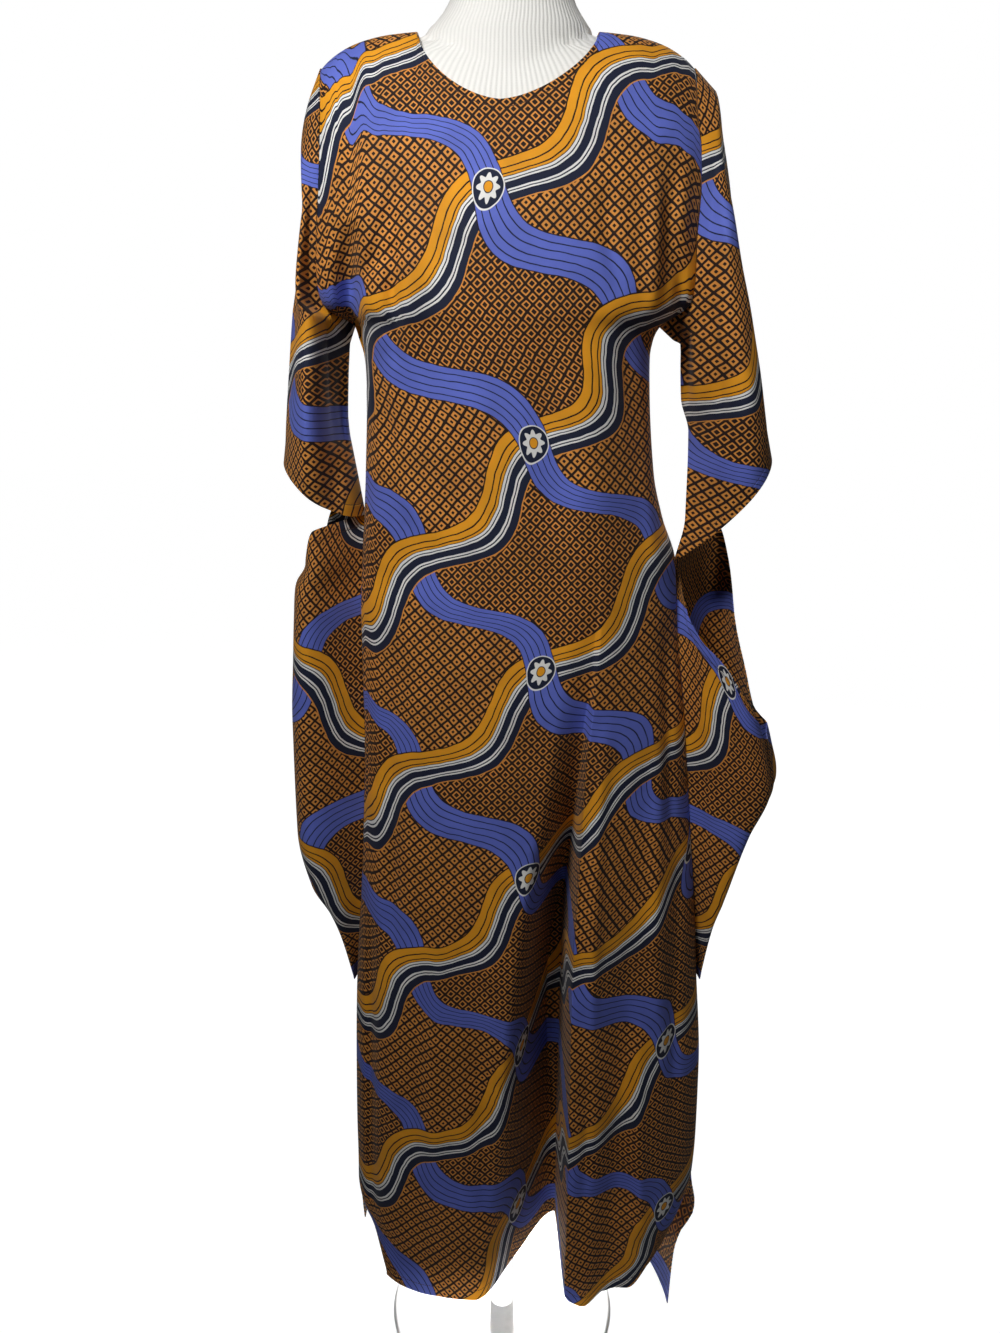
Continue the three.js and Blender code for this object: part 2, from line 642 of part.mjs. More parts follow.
/** Keeps a panel within its edges and on its own side of the side and shoulder seams. */
const keepTo = (face) => (p, i) => {
  if (ROW_HEIGHTS[i] < SLIT_TOP) return;
  const z = Math.min(p.z, SHOULDER_END_Z);
  p.x = Math.max(-body(z, 'left'), Math.min(body(z, 'right'), p.x));
  p.y = face * Math.max(SEAM / 2, face * p.y);
};
/** Keeps a piece outside the panels' edge that it is sewn to. */
const keepOutside = (side, edgeName) => (p) => {
  const limit = body(Math.min(p.z, SHOULDER_END_Z), edgeName) + SEAM;
  if (side * p.x < limit) p.x = side * limit;
};

const addPanel = (name, grid, face) => {
  add(name, clothWall(grid, { closed: false, flip: -face, keep: keepTo(face) }), printedCotton);
};
const addSide = (name, grid, side, edgeName, closed) => {
  const keep = keepOutside(side, edgeName);
  add(name, clothWall(grid, { closed, flip: side, keep }), bluePrint);
};

addPanel('front_panel', frontGrid(), -1);
addPanel('back_panel', backGrid(), 1);
addSide('left_sleeve', sleeveGrid(-1, LEFT_SLEEVE, 'left', LEFT_RIM), -1, 'left', true);
addSide('right_sleeve', sleeveGrid(1, RIGHT_SLEEVE, 'right', RIGHT_RIM), 1, 'right', true);
addSide('left_side_drape', drapeGrid(-1, LEFT_DRAPE, 'left', LEFT_OPENING), -1, 'left', false);
addSide('right_side_drape', drapeGrid(1, RIGHT_DRAPE, 'right', RIGHT_OPENING), 1, 'right', false);
add('dress_form', ringSolid(formRings()), knitCover);
add('stand_pole', standPole(), whiteMetal);
add('stand_base', standBase(), whiteMetal);

export default dress;
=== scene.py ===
"""A long printed kaftan worn by a limbless dress form on a pole stand.

Every cloth piece is a thin closed wall, lofted through the same sections as its solid and creased
along listed lines. Tables and lengths of the garment are in millimetres, and meshes are in metres. +Z is up
and the front faces -Y.
"""

import math

import bpy
import numpy as np
from bpy.props import FloatProperty, FloatVectorProperty, PointerProperty
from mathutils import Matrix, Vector


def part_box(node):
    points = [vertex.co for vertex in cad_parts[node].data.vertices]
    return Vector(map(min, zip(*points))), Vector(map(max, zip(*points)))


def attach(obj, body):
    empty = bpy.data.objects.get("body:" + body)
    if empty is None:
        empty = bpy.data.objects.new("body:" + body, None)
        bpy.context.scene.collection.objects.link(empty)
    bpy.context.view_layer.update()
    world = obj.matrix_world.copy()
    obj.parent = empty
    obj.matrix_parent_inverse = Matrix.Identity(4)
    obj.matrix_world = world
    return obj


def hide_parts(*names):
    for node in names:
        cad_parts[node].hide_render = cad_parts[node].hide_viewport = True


bl_info = {
    "name": "Kaftan on a Dress Form",
    "version": (1, 0, 0),
    "blender": (4, 5, 0),
    "location": "View3D > Sidebar > Kaftan",
    "description": "Makes a printed cotton kaftan, its dress form and a studio stage",
    "category": "Object",
}

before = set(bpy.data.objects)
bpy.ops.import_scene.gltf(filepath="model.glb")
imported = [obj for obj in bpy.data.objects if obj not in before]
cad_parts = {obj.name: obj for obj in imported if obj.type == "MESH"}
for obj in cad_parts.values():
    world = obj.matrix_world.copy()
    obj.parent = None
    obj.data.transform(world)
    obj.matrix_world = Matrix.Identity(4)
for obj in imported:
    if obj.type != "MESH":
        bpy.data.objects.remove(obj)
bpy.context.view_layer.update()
BODY_NAME = "root"
MM = 0.001

# ---------------------------------------------------------------- the garment's sizes, in mm

SEAM = 0.3  # gap between two pieces that are sewn together
NECK_POINT_Z = 1577  # where the shoulder seam meets the neck opening
NECK_HALF_WIDTH = 88
FRONT_NECK = {"drop": 72, "roundness": 1.65}
BACK_NECK = {"drop": 13, "roundness": 2.0}
NECK_LEAN = 8  # the scoop hangs a little to the left of the middle
NECK_LEAN_CENTRE = 5
SHOULDER_END_Z = 1546  # top of the armhole
UNDERARM_Z = 1303  # bottom of the armhole
SIDE_SEAM_TOP = 525  # the side drapes end here and the side seams begin
SLIT_TOP = 246  # below this the front and back hang free of each other
LOWEST_ROW_Z = 165
YOKE_DEPTH = 190  # rows are level this far below the shoulder ends
HEM_RISE = 230  # rows start to follow the hem this far above it
LEVEL_ROW_Z = 1300  # the print is laid out from this level row
PRINT_MIDDLE = 0.48  # and from this share of a panel's width
PRINT_DEPTH_WEIGHT = 0.25  # weight of a fold's squared depth in lengths across the print


def table(columns, *rows):
    """A table with named columns."""
    return {name: np.array([row[i] for row in rows], float) for i, name in enumerate(columns.split())}


# Half outlines of the worn dress: distances of the panels' side edges from the middle plane, how
# far the section would run on past those edges, its depths, and how boxy its corners are.
BODY = table(
    "z left right flare_left flare_right front back square_left square_right",
    (1577, 178, 188, -95, -95, 28, 34, 2.4, 2.4),
    (1571, 178, 188, -48, -48, 45, 56, 2.4, 2.4),
    (1561, 178, 188, -20, -20, 56, 71, 2.4, 2.4),
    (1546, 178, 188, 0, 0, 67, 79, 2.4, 2.4),
    (1528, 177, 187, 13, 13, 78, 83, 2.4, 2.4),
    (1505, 176, 187, 20, 20, 90, 86, 2.4, 2.4),
    (1470, 177, 191, 23, 23, 101, 88, 2.4, 2.4),
    (1430, 180, 193, 20, 20, 109, 89, 2.4, 2.4),
    (1385, 184, 191, 18, 18, 115, 88, 2.4, 2.4),
    (1345, 186, 192, 14, 14, 117, 86, 2.4, 2.4),
    (1325, 184, 191, 8, 8, 117, 85, 2.4, 2.4),
    (1313, 172, 180, 3, 3, 117, 84, 2.4, 2.4),
    (1303, 156, 165, 0, 0, 116, 82, 2.3, 2.3),
    (1290, 152, 158, 0, 0, 115, 80, 2.3, 2.3),
    (1272, 147, 155, 0, 0, 114, 79, 2.3, 2.3),
    (1240, 145, 156, 0, 0, 112, 78, 2.3, 2.3),
    (1150, 149, 164, 0, 0, 109, 80, 2.3, 2.3),
    (1104, 152, 175, 0, 0, 109, 82, 2.3, 2.3),
    (1052, 154, 192, 3, 0, 110, 85, 2.3, 2.2),
    (1000, 156, 193, 6, 4, 112, 90, 2.3, 2.2),
    (880, 156, 206, 7, 7, 116, 100, 2.4, 2.1),
    (740, 162, 220, 6, 7, 122, 106, 2.4, 2.0),
    (650, 169, 230, 3, 4, 127, 109, 2.4, 2.0),
    (525, 181, 243, 0, 0, 134, 111, 2.4, 1.9),
    (400, 186, 252, 0, 0, 142, 114, 2.4, 1.9),
    (300, 188, 253, 0, 0, 148, 117, 2.4, 1.9),
    (246, 188, 250, 1, 1, 151, 119, 2.4, 1.9),
    (205, 161, 222, 22, 20, 154, 120, 2.4, 1.9),
    (165, 146, 184, 35, 54, 156, 121, 2.5, 1.9),
)

# The deep fold that hangs down the front and lets the right part of the skirt lap over the left.
CASCADE = table(
    "z x depth slope",
    (1330, 60, 0, 30),
    (1180, 84, 0, 30),
    (1040, 97, 2, 30),
    (956, 94, 8, 32),
    (880, 87, 20, 36),
    (800, 82, 38, 44),
    (696, 77, 66, 56),
    (578, 72, 98, 66),
    (440, 71, 114, 78),
    (300, 70, 124, 90),
    (165, 69, 131, 104),
)
CASCADE_GAIN = 0.45  # the fold is this much deeper between the knees and the dress form
CASCADE_GAIN_HEIGHT = 420  # and comes to it over this height above the lowest row
CASCADE_GAIN_END = 840
CASCADE_GAIN_FADE = 160  # and fades over this height below its end
CASCADE_EDGE = 7  # width of the cascade's steep right side
CASCADE_COLUMN = 0.575  # which part of the front's width carries its line
CASCADE_REACH = 0.3  # how far to each side of it the columns follow it
CASCADE_START = 150  # the columns come over to the cascade within this height

# Soft folds: each runs from its top to its foot and is depth deep, or raised where negative.
FOLD_COLUMNS = "top_x top_z foot_x foot_z width depth fades"
FRONT_FOLDS = table(
    FOLD_COLUMNS,
    (84, 1330, 104, 830, 30, -9, 1),
    (-58, 840, 4, 165, 20, 8, 0),
    (152, 900, 134, 165, 24, 19, 0),
    (-100, 760, -104, 165, 24, 5, 0),
)
BACK_FOLDS = table(
    FOLD_COLUMNS,
    (-98, 1180, -112, 120, 27, 24, 0),
    (-38, 1000, -46, 120, 24, 34, 0),
    (12, 1240, 26, 120, 28, 26, 0),
    (74, 1040, 96, 120, 30, 42, 0),
    (128, 1120, 168, 120, 26, 26, 0),
)
FOLD_GROWTH = 0.8  # a fold that doesn't fade reaches its depth over this share of its height
FULL_FOLD_DEPTH = 60  # nearer than this to the middle plane, folds flatten out

# Lower edges, as heights across each panel from its left edge (0) to its right edge (1).
FRONT_HEM = table(
    "at z",
    (0, 158), (0.12, 155), (0.22, 163), (0.45, 170), (0.57, 178), (0.62, 158), (0.72, 142),
    (0.8, 144), (0.84, 140), (0.92, 141), (1, 166),
)
BACK_HEM = table("at z", (0, 148), (0.06, 160), (0.2, 168), (0.6, 170), (0.8, 144), (0.93, 76), (1, 48))
# The back panel's own side edges below the slits, and how far its right corner swings back, or
# forward where negative.
BACK_EDGES = table(
    "z left right flare_left flare_right lean",
    (246, 188, 250, 1, 1, 0),
    (205, 189, 254, 0, 0, 0),
    (180, 188, 258, 0, 0, -6),
    (162, 187, 254, 0, 0, -12),
    (148, 186, 240, 0, 0, -20),
    (120, 184, 229, 0, 0, -30),
    (48, 182, 222, 0, 0, -45),
)
LEAN_POWER = 3  # the swing grows towards the right edge by this power

# Sections of the sleeves from the armhole to the hand opening.
SLEEVE_COLUMNS = "k outer_x outer_z inner_x inner_z depth follow"
LEFT_SLEEVE = table(
    SLEEVE_COLUMNS,
    (0, 178, 1546, 156, 1303, 60, 0),
    (1, 190, 1520, 163, 1286, 67, 0.15),
    (2, 198, 1484, 165, 1270, 73, 0.75),
    (3, 197, 1438, 167, 1248, 79, 1),
    (4, 202, 1385, 168, 1222, 83, 1),
    (5, 210, 1330, 167, 1196, 84, 1),
    (6, 218, 1274, 163, 1168, 82, 1),
    (7, 227, 1218, 158, 1137, 76, 1),
    (8, 236, 1164, 152.8, 1104, 64, 1),
)
RIGHT_SLEEVE = table(
    SLEEVE_COLUMNS,
    (0, 188, 1546, 165, 1303, 62, 0),
    (1, 209, 1526, 180, 1290, 69, 0.2),
    (2, 216, 1490, 189, 1284, 74, 0.75),
    (3, 225, 1446, 190, 1260, 80, 1),
    (4, 234, 1392, 192, 1228, 84, 1),
    (5, 246, 1336, 202, 1192, 86, 1),
    (6, 259, 1280, 203, 1148, 86, 1),
    (7, 272, 1226, 203, 1100, 82, 1),
    (8, 287, 1172, 193, 1052, 70, 1),
)
SLEEVE_BOX = 0.42  # below 1 a sleeve's or drape's section is full towards its outer edge
SLEEVE_STAND_OFF = 3.4  # each section stays this much further out of the armhole
SLEEVE_CLEAR_BELOW = 20  # and does so down to this far below the underarm
# At the hand openings: how late the edge climbs to the sleeve's corner, and how full it is.
RIMS = {"left": (1.2, 0.75), "right": (0.5, 0.42)}

# Sections of the side drapes, and their upper edges round the hand openings from the front seam
# (-1) past the outermost point (0) to the back seam (1).
LEFT_DRAPE = table(
    "z outer depth",
    (1104, 219, 74), (1060, 216, 75), (1030, 229, 75), (1000, 232, 75), (950, 236, 74),
    (880, 241, 72), (740, 243, 66), (670, 231, 54), (630, 211, 42), (590, 199, 28), (525, 185, 14),
)
RIGHT_DRAPE = table(
    "z outer depth",
    (1090, 278, 84), (1052, 275, 84), (990, 275, 80), (900, 292, 76), (840, 309, 74),
    (798, 318, 70), (740, 297, 62), (670, 276, 50), (600, 256, 32), (525, 246, 14),
)
LEFT_OPENING = table(
    "at z",
    (-1, 1103.7), (-0.8, 1102), (-0.55, 1098), (-0.35, 1070), (0, 1028), (0.35, 1070),
    (0.55, 1098), (0.8, 1102), (1, 1103.7),
)
RIGHT_OPENING = table(
    "at z",
    (-1, 1051.5), (-0.94, 995), (-0.67, 945), (-0.5, 908), (-0.15, 853), (0, 862), (0.1, 905),
    (0.2, 990), (0.3, 1037), (0.45, 1075), (0.6, 1092), (0.72, 1086), (0.85, 1065.5), (1, 1051.5),
)
OPENING_REACH = 330  # the drapes' rows follow the opening's edge this far down
DRAPE_STAND_OUT = 3  # the outer fold stays at least this far outside the panels' edges
DRAPE_SEAM_DEPTH = 1.5  # and its seams at least this far from the middle plane
DRAPE_SEAM_POWER = 3  # the drape turns in to its seams by this power

# Sections of the dress form.
FORM = table(
    "z half front back",
    (1500, 168, 82, 70), (1465, 158, 91, 74), (1430, 147, 99, 75), (1385, 141, 106, 74),
    (1340, 138, 108, 72), (1300, 132, 104, 69), (1240, 117, 92, 67), (1180, 106, 82, 68),
    (1120, 115, 86, 74), (1050, 131, 94, 80), (980, 141, 99, 84), (930, 143, 100, 85),
    (880, 140, 97, 82),
)
FORM_NECK = table(
    "z half depth middle",
    (1700, 54, 47, 9), (1650, 55, 48, 9), (1625, 57, 50, 9), (1608, 60, 53, 9), (1599, 64.5, 55, 8.5),
    (1590, 71, 57, 8), (1583, 77, 59, 7), (1577, 82, 61, 6), (1570, 84, 62, 5), (1540, 82, 67, 5),
    (1500, 81, 70, 5), (1470, 70, 61, 5), (1430, 40, 35, 5),
)
FORM_LIFT = 3.0  # the form lies this far below the cloth's outline
FORM_DIP = 3.4  # and this much further beside the neck
FORM_MIDDLE = 5  # the torso stands this far to the right of the middle plane
FORM_DIP_START = 1550  # the form starts to dip beside the neck at this height
FORM_DIP_HEIGHT = 14
TORSO_TOP = 1540  # from here down the torso goes over from the cloth's outline to its own
TORSO_BLEND = 60
TORSO_SQUARE = 2.4
NECK_ROLL = 7  # radius of the neck's top edge

BASE_EDGE = 7  # height of the base's rolled edge
BASE_ROLL = 4
BASE_FOOT = 1.5
POLE_FLANGE = 10  # the base is flat this far round the pole

# ---------------------------------------------------------------- listed creases, in mm

# Each runs from its start to its end across one side of the dress, as wide and deep as given
# (raised where negative), and bows sideways by bow at its middle.
CREASE_COLUMNS = "x0 z0 x1 z1 width depth bow"
FRONT_CREASES = table(
    CREASE_COLUMNS,
    (-158, 1312, -98, 1448, 8, 7, 8),
    (-166, 1330, -76, 1384, 7, 5, -6),
    (-176, 1352, -120, 1480, 7, -4, 6),
    (-101, 1414, -104, 1262, 7, 8, 4),
    (-84, 1400, -90, 1240, 12, -5, 4),
    (-136, 1300, -112, 1120, 9, 5, -5),
    (-120, 1180, -60, 1090, 12, -4, 8),
    (141, 1462, 145, 1296, 9, -8, -4),
    (160, 1440, 162, 1310, 8, 9, 3),
    (176, 1470, 176, 1330, 7, -5, 2),
    (96, 1436, 116, 1330, 9, 5, 6),
    (118, 1330, 150, 1160, 11, 5, 7),
    (150, 1220, 168, 1040, 9, -5, 5),
    (30, 1300, 44, 1080, 16, 4, -8),
    (-30, 1220, -52, 1010, 18, 4, 8),
    (-96, 1040, -70, 760, 13, -5, 8),
    (-128, 960, -132, 560, 10, 7, -5),
    (-62, 700, -84, 250, 14, -7, 8),
    (-22, 560, -14, 175, 12, 5, 6),
    (112, 900, 106, 460, 9, -8, 6),
    (176, 900, 190, 470, 11, -7, 6),
    (204, 760, 214, 300, 9, 7, 4),
    (96, 520, 92, 190, 8, 5, -4),
    (160, 520, 176, 190, 9, -7, 4),
    (-152, 660, -164, 180, 7, 13, 3),
    (-150, 1400, -152, 1236, 13, 38, 3),
    (-166, 1310, -180, 1100, 10, 20, 2),
    (-190, 1290, -204, 1120, 8, -4, 2),
    (170, 1400, 186, 1250, 8, 12, 2),
    (178, 1010, 196, 720, 8, 9, 3),
)
BACK_CREASES = table(
    CREASE_COLUMNS,
    (-150, 1330, -60, 1450, 10, 5, -8),
    (150, 1330, 70, 1446, 10, 5, 8),
    (-60, 1500, -48, 1250, 14, 4, 10),
    (64, 1490, 52, 1230, 14, 4, -10),
    (-120, 1180, -150, 760, 11, -5, 6),
    (-70, 1080, -76, 520, 12, -6, -6),
    (-12, 1120, -6, 560, 12, -5, 6),
    (52, 1100, 60, 420, 12, -6, -6),
    (120, 1180, 134, 700, 11, -5, 6),
    (180, 1000, 200, 420, 10, 6, 5),
    (-140, 700, -138, 260, 9, 5, -4),
    (10, 700, -8, 240, 10, 4, 5),
    (150, 620, 150, 240, 10, -5, 4),
)
SIDE_CREASES = table(
    CREASE_COLUMNS,
    (-30, 1500, -16, 1210, 9, 5, 6),
    (22, 1470, 34, 1230, 9, 4, -5),
    (-52, 1440, -48, 1180, 8, -4, 4),
    (2, 1400, 8, 1190, 8, -3, 4),
    (-40, 1020, -30, 640, 10, 6, 5),
    (8, 1000, 4, 610, 11, -6, -5),
    (36, 1040, 26, 660, 9, 5, 5),
    (-14, 860, -10, 600, 8, 4, 3),
)
CREASE_ENDS = 0.8  # below 1 a crease keeps its depth further towards its ends
CREASE_FULL_DEPTH = 30  # nearer than this to the middle plane, creases flatten out
SIDE_CREASE_RISE = 30  # side creases reach their depth this far outside the panels' edges
SIDE_CREASE_SHIFT = 14  # they lie this much further forward on the right, and back on the left

# ---------------------------------------------------------------- resolution of the cloth

CREST_REACH = 46  # rows close up towards the shoulder line within this height
CREST_ROWS = 15
ROW_STEP = 5.5
SLEEVE_RINGS = 90
SLEEVE_PARTS = 96
DRAPE_PARTS = 110
DRAPE_ROWS = 110
FORM_SIDES = 120
FORM_STEP = 7
LATHE_SIDES = 96
AXIS = 0.01  # radius at which turned solids close on their axis
CLOTH_CRISP = 50  # edges sharper than this many degrees aren't smoothed
SOLID_CRISP = 40

# ---------------------------------------------------------------- user settings


def length(name, description, value):
    """A length setting, in metres."""
    return FloatProperty(name=name, description=description, default=value, unit="LENGTH")


class KaftanSizes(bpy.types.PropertyGroup):
    """Sizes that can be changed without touching the outline."""

    cloth: length("Cloth", "Thickness of the cotton", 0.0011)
    neck_inset: length("Neck stitching", "From the neck edge to its topstitching", 0.008)
    hem_inset: length("Hem stitching", "From a hem to its topstitching", 0.013)
    repeat_across: length("Repeat across", "Width of the print's repeat", 0.262)
    repeat_down: length("Repeat down", "Height of the print's repeat", 0.236)
    lattice_pitch: length("Lattice", "Pitch of the small squares", 0.0092)


def colour(name, description, value):
    """A colour setting, from linear red, green and blue."""
    return FloatVectorProperty(name=name, description=description, subtype="COLOR", size=3,
                               min=0, max=1, default=value)


class KaftanColours(bpy.types.PropertyGroup):
    """Linear colours of the print, the form and the stage."""

    orange: colour("Orange", "Squares of the lattice", (0.68, 0.275, 0.050))
    ground: colour("Ground", "Dark brown between the squares", (0.016, 0.0055, 0.0032))
    ribbon: colour("Ribbon", "Blue ribbons", (0.118, 0.158, 0.58))
    navy: colour("Navy", "Stripes and fine lines", (0.009, 0.013, 0.036))
    mustard: colour("Mustard", "Warm stripes", (0.80, 0.330, 0.012))
    white: colour("White", "Thin stripes", (0.80, 0.79, 0.76))
    knit: colour("Knit", "Cover of the dress form", (0.90, 0.885, 0.84))
    enamel: colour("Enamel", "Pole and base", (0.94, 0.94, 0.93))
    floor: colour("Floor", "Studio floor", (0.20, 0.20, 0.20))


def sizes():
    return bpy.context.scene.kaftan_sizes


def colours():
    return bpy.context.scene.kaftan_colours


# ---------------------------------------------------------------- curves through tables


def along(rows, key, column, at):
    """A table's column at the given keys, on a smooth curve that never overshoots its rows."""
    keys, values = rows[key], rows[column]
    if keys[0] > keys[-1]:
        keys, values = keys[::-1], values[::-1]
    slopes = np.diff(values) / np.diff(keys)
    before, after = slopes[:-1], slopes[1:]
    same_way = before * after > 0
    inner = np.where(same_way, 2 * before * after / np.where(same_way, before + after, 1), 0)
    tangents = np.concatenate([slopes[:1], inner, slopes[-1:]])
    at = np.clip(at, keys[0], keys[-1])
    i = np.clip(np.searchsorted(keys, at, side="right") - 1, 0, len(slopes) - 1)
    span = keys[i + 1] - keys[i]
    t = (at - keys[i]) / span
    return (
        values[i] * (1 + 2 * t) * (1 - t) ** 2
        + values[i + 1] * t * t * (3 - 2 * t)
        + tangents[i] * span * t * (1 - t) ** 2
        + tangents[i + 1] * span * t * t * (t - 1)
    )


def mix(a, b, t):
    return a + (b - a) * t


def ease(t):
    t = np.clip(t, 0, 1)
    return t * t * (3 - 2 * t)


def body(z, column):
    """A measure of the worn dress at a height."""
    return along(BODY, "z", column, z)


def freed_back(z, column):
    """The back panel's measures at a height: its side edges hang free below the slits."""
    if column not in BACK_EDGES:
        return body(z, column)
    return np.where(z < SLIT_TOP, along(BACK_EDGES, "z", column, z), body(z, column))


# ---------------------------------------------------------------- the worn outline


def section_depth(x, z, face, edge=body):
    """Depth of the worn section in front of or behind the middle plane, at (x, z)."""
    left, right = edge(z, "left"), edge(z, "right")
    middle, half = (right - left) / 2, (right + left) / 2
    on_left = x < middle
    reach = half + np.where(on_left, edge(z, "flare_left"), edge(z, "flare_right"))
    square = np.where(on_left, body(z, "square_left"), body(z, "square_right"))
    across = np.minimum(1, np.abs(x - middle) / reach)
    return body(z, face) * (1 - across**square) ** (1 / square)


SHOULDER_MIDDLE = (body(SHOULDER_END_Z, "right") - body(SHOULDER_END_Z, "left")) / 2
SHOULDER_HALF = (body(SHOULDER_END_Z, "right") + body(SHOULDER_END_Z, "left")) / 2


def shoulder_height(x):
    """Height of the shoulder line at x, found where the section's depth falls to nothing."""
    heights = np.linspace(NECK_POINT_Z, SHOULDER_END_Z, 200)
    reaches = SHOULDER_HALF + body(heights, "flare_left")
    return np.interp(np.abs(x - SHOULDER_MIDDLE), reaches, heights)


def top_height(x, neck):
    """Height of the neck edge at x, or of the shoulder line beside it."""
    across = np.abs(x - SHOULDER_MIDDLE) / NECK_HALF_WIDTH
    inside = np.clip(1 - across ** neck["roundness"], 0, 1) ** (1 / neck["roundness"])
    return np.where(across < 1, NECK_POINT_Z - neck["drop"] * inside, shoulder_height(x))


def fold_depth(folds, x, z):
    """How far the soft folds push the cloth in at (x, z)."""
    total = np.zeros_like(x)
    for top_x, top_z, foot_x, foot_z, width, depth, fades in zip(*folds.values()):
        down = (top_z - z) / (top_z - foot_z)
        line = mix(top_x, foot_x, np.clip(down, 0, 1))
        inside = np.sin(math.pi * np.clip(down, 0, 1)) if fades else ease(down / FOLD_GROWTH)
        total += depth * inside * np.exp(-(((x - line) / width) ** 2))
    return total


def crease_depth(creases, across, z):
    """How far the listed creases push the cloth in."""
    total = np.zeros_like(across)
    for x0, z0, x1, z1, width, depth, bow in zip(*creases.values()):
        length = math.hypot(x1 - x0, z1 - z0)
        run_x, run_z = (x1 - x0) / length, (z1 - z0) / length
        t = np.clip(((across - x0) * run_x + (z - z0) * run_z) / length, 0, 1)
        aside = (across - x0) * run_z - (z - z0) * run_x - bow * 4 * t * (1 - t)
        total += depth * np.sin(math.pi * t) ** CREASE_ENDS * np.exp(-((aside / width) ** 2))
    return total


def cascade_depth(x, z):
    """How far the cascade's fold reaches back at (x, z)."""
    line = along(CASCADE, "z", "x", z)
    width = np.where(x < line, along(CASCADE, "z", "slope", z), CASCADE_EDGE)
    rise = ease((z - LOWEST_ROW_Z) / CASCADE_GAIN_HEIGHT)
    fade = ease((CASCADE_GAIN_END - z) / CASCADE_GAIN_FADE)
    gain = 1 + CASCADE_GAIN * rise * fade
    return gain * along(CASCADE, "z", "depth", z) * ease(1 - np.abs(x - line) / width)


def crease_front_and_back(points):
    """Pushes cloth points in along Y by the creases of the side that they are on."""
    x, y, z = points[..., 0], points[..., 1], points[..., 2]
    weight = ease(np.abs(y) / CREASE_FULL_DEPTH)
    front = crease_depth(FRONT_CREASES, x, z) * (y < 0)
    back = crease_depth(BACK_CREASES, x, z) * (y > 0)
    points[..., 1] += weight * (front - back)


def crease_side(points, side, edge_name):
    """Pushes the outer fold of a sleeve or side drape in along X."""
    x, y, z = points[..., 0], points[..., 1], points[..., 2]
    outside = side * x - body(np.minimum(z, SHOULDER_END_Z), edge_name)
    weight = ease(outside / SIDE_CREASE_RISE)
    points[..., 0] -= side * weight * crease_depth(SIDE_CREASES, side * SIDE_CREASE_SHIFT + y, z)


# ---------------------------------------------------------------- grids of the cloth


def columns_between(anchors, counts):
    """Column positions, 0 to 1, evenly spaced between anchors that stay on a feature."""
    spans = zip(anchors[:-1], anchors[1:], counts)
    parts = [np.linspace(start, stop, count, endpoint=False) for start, stop, count in spans]
    return np.concatenate([*parts, anchors[-1:]])


def panel_levels():
    """Heights of a panel's rows at its side edges, from the shoulder line down."""
    crest = SHOULDER_END_Z - CREST_REACH * np.linspace(0, 1, CREST_ROWS, endpoint=False) ** 2
    start = SHOULDER_END_Z - CREST_REACH
    count = round((start - LOWEST_ROW_Z) / ROW_STEP)
    return np.concatenate([crest, np.linspace(start, LOWEST_ROW_Z, count + 1)])


def panel_grid(face, columns, neck, hem, folds, edge):
    """Rows and columns of points for the front (face -1) or back (face 1) panel."""
    frontal = face < 0
    level, u = np.meshgrid(panel_levels(), columns, indexing="ij")
    top_x = mix(-body(SHOULDER_END_Z, "left"), body(SHOULDER_END_Z, "right"), u)
    to_top = ease(1 - (SHOULDER_END_Z - level) / YOKE_DEPTH)
    to_hem = ease(1 - (level - LOWEST_ROW_Z) / HEM_RISE)
    z = level + (top_height(top_x, neck) - SHOULDER_END_Z) * to_top
    z += (along(hem, "at", "z", u) - LOWEST_ROW_Z) * to_hem
    edge_z = np.minimum(z, SHOULDER_END_Z)
    x = mix(-edge(edge_z, "left"), edge(edge_z, "right"), u)
    if frontal:
        column_x = mix(-edge(z, "left"), edge(z, "right"), CASCADE_COLUMN)
        drift = (along(CASCADE, "z", "x", z) - column_x) * ease((CASCADE["z"][0] - z) / CASCADE_START)
        x += drift * ease(1 - np.abs(u - CASCADE_COLUMN) / CASCADE_REACH)
        lean = np.maximum(0, 1 - ((top_x - NECK_LEAN_CENTRE) / NECK_HALF_WIDTH) ** 2)
        x -= NECK_LEAN * to_top * lean
    depth = section_depth(x, z, "front" if frontal else "back", edge)
    if frontal:
        depth -= cascade_depth(x, z)
    depth -= fold_depth(folds, x, z) * np.clip(depth / FULL_FOLD_DEPTH, 0, 1)
    if not frontal:
        depth += np.where(z < SLIT_TOP, along(BACK_EDGES, "z", "lean", z) * u**LEAN_POWER, 0)
    points = np.stack([x, face * depth, z], axis=-1)
    crease_front_and_back(points)
    return points


NECK_SHARE = NECK_HALF_WIDTH / (2 * SHOULDER_HALF)
NECK_START, NECK_END = 0.5 - NECK_SHARE, 0.5 + NECK_SHARE


def front_columns():
    return columns_between(
        [0, 0.03, NECK_START, 0.5, CASCADE_COLUMN, 0.603, NECK_END, 0.97, 1],
        [10, 32, 34, 26, 12, 24, 32, 10],
    )


def back_columns():
    return columns_between([0, 0.03, NECK_START, NECK_END, 0.97, 1], [10, 36, 60, 36, 10])


def armhole_ring(side, edge_name):
    """Points of the armhole, from its lowest point up the back and down the front again."""
    angle = np.linspace(-math.pi, math.pi, SLEEVE_PARTS + 1)
    z = mix(UNDERARM_Z, SHOULDER_END_Z, (1 + np.cos(angle)) / 2)
    edge = body(z, edge_name)
    front, back = section_depth(side * edge, z, "front"), section_depth(side * edge, z, "back")
    y = np.where(angle > 0, -front, back)
    return angle, np.stack([side * (edge + SEAM), y, z], axis=-1)


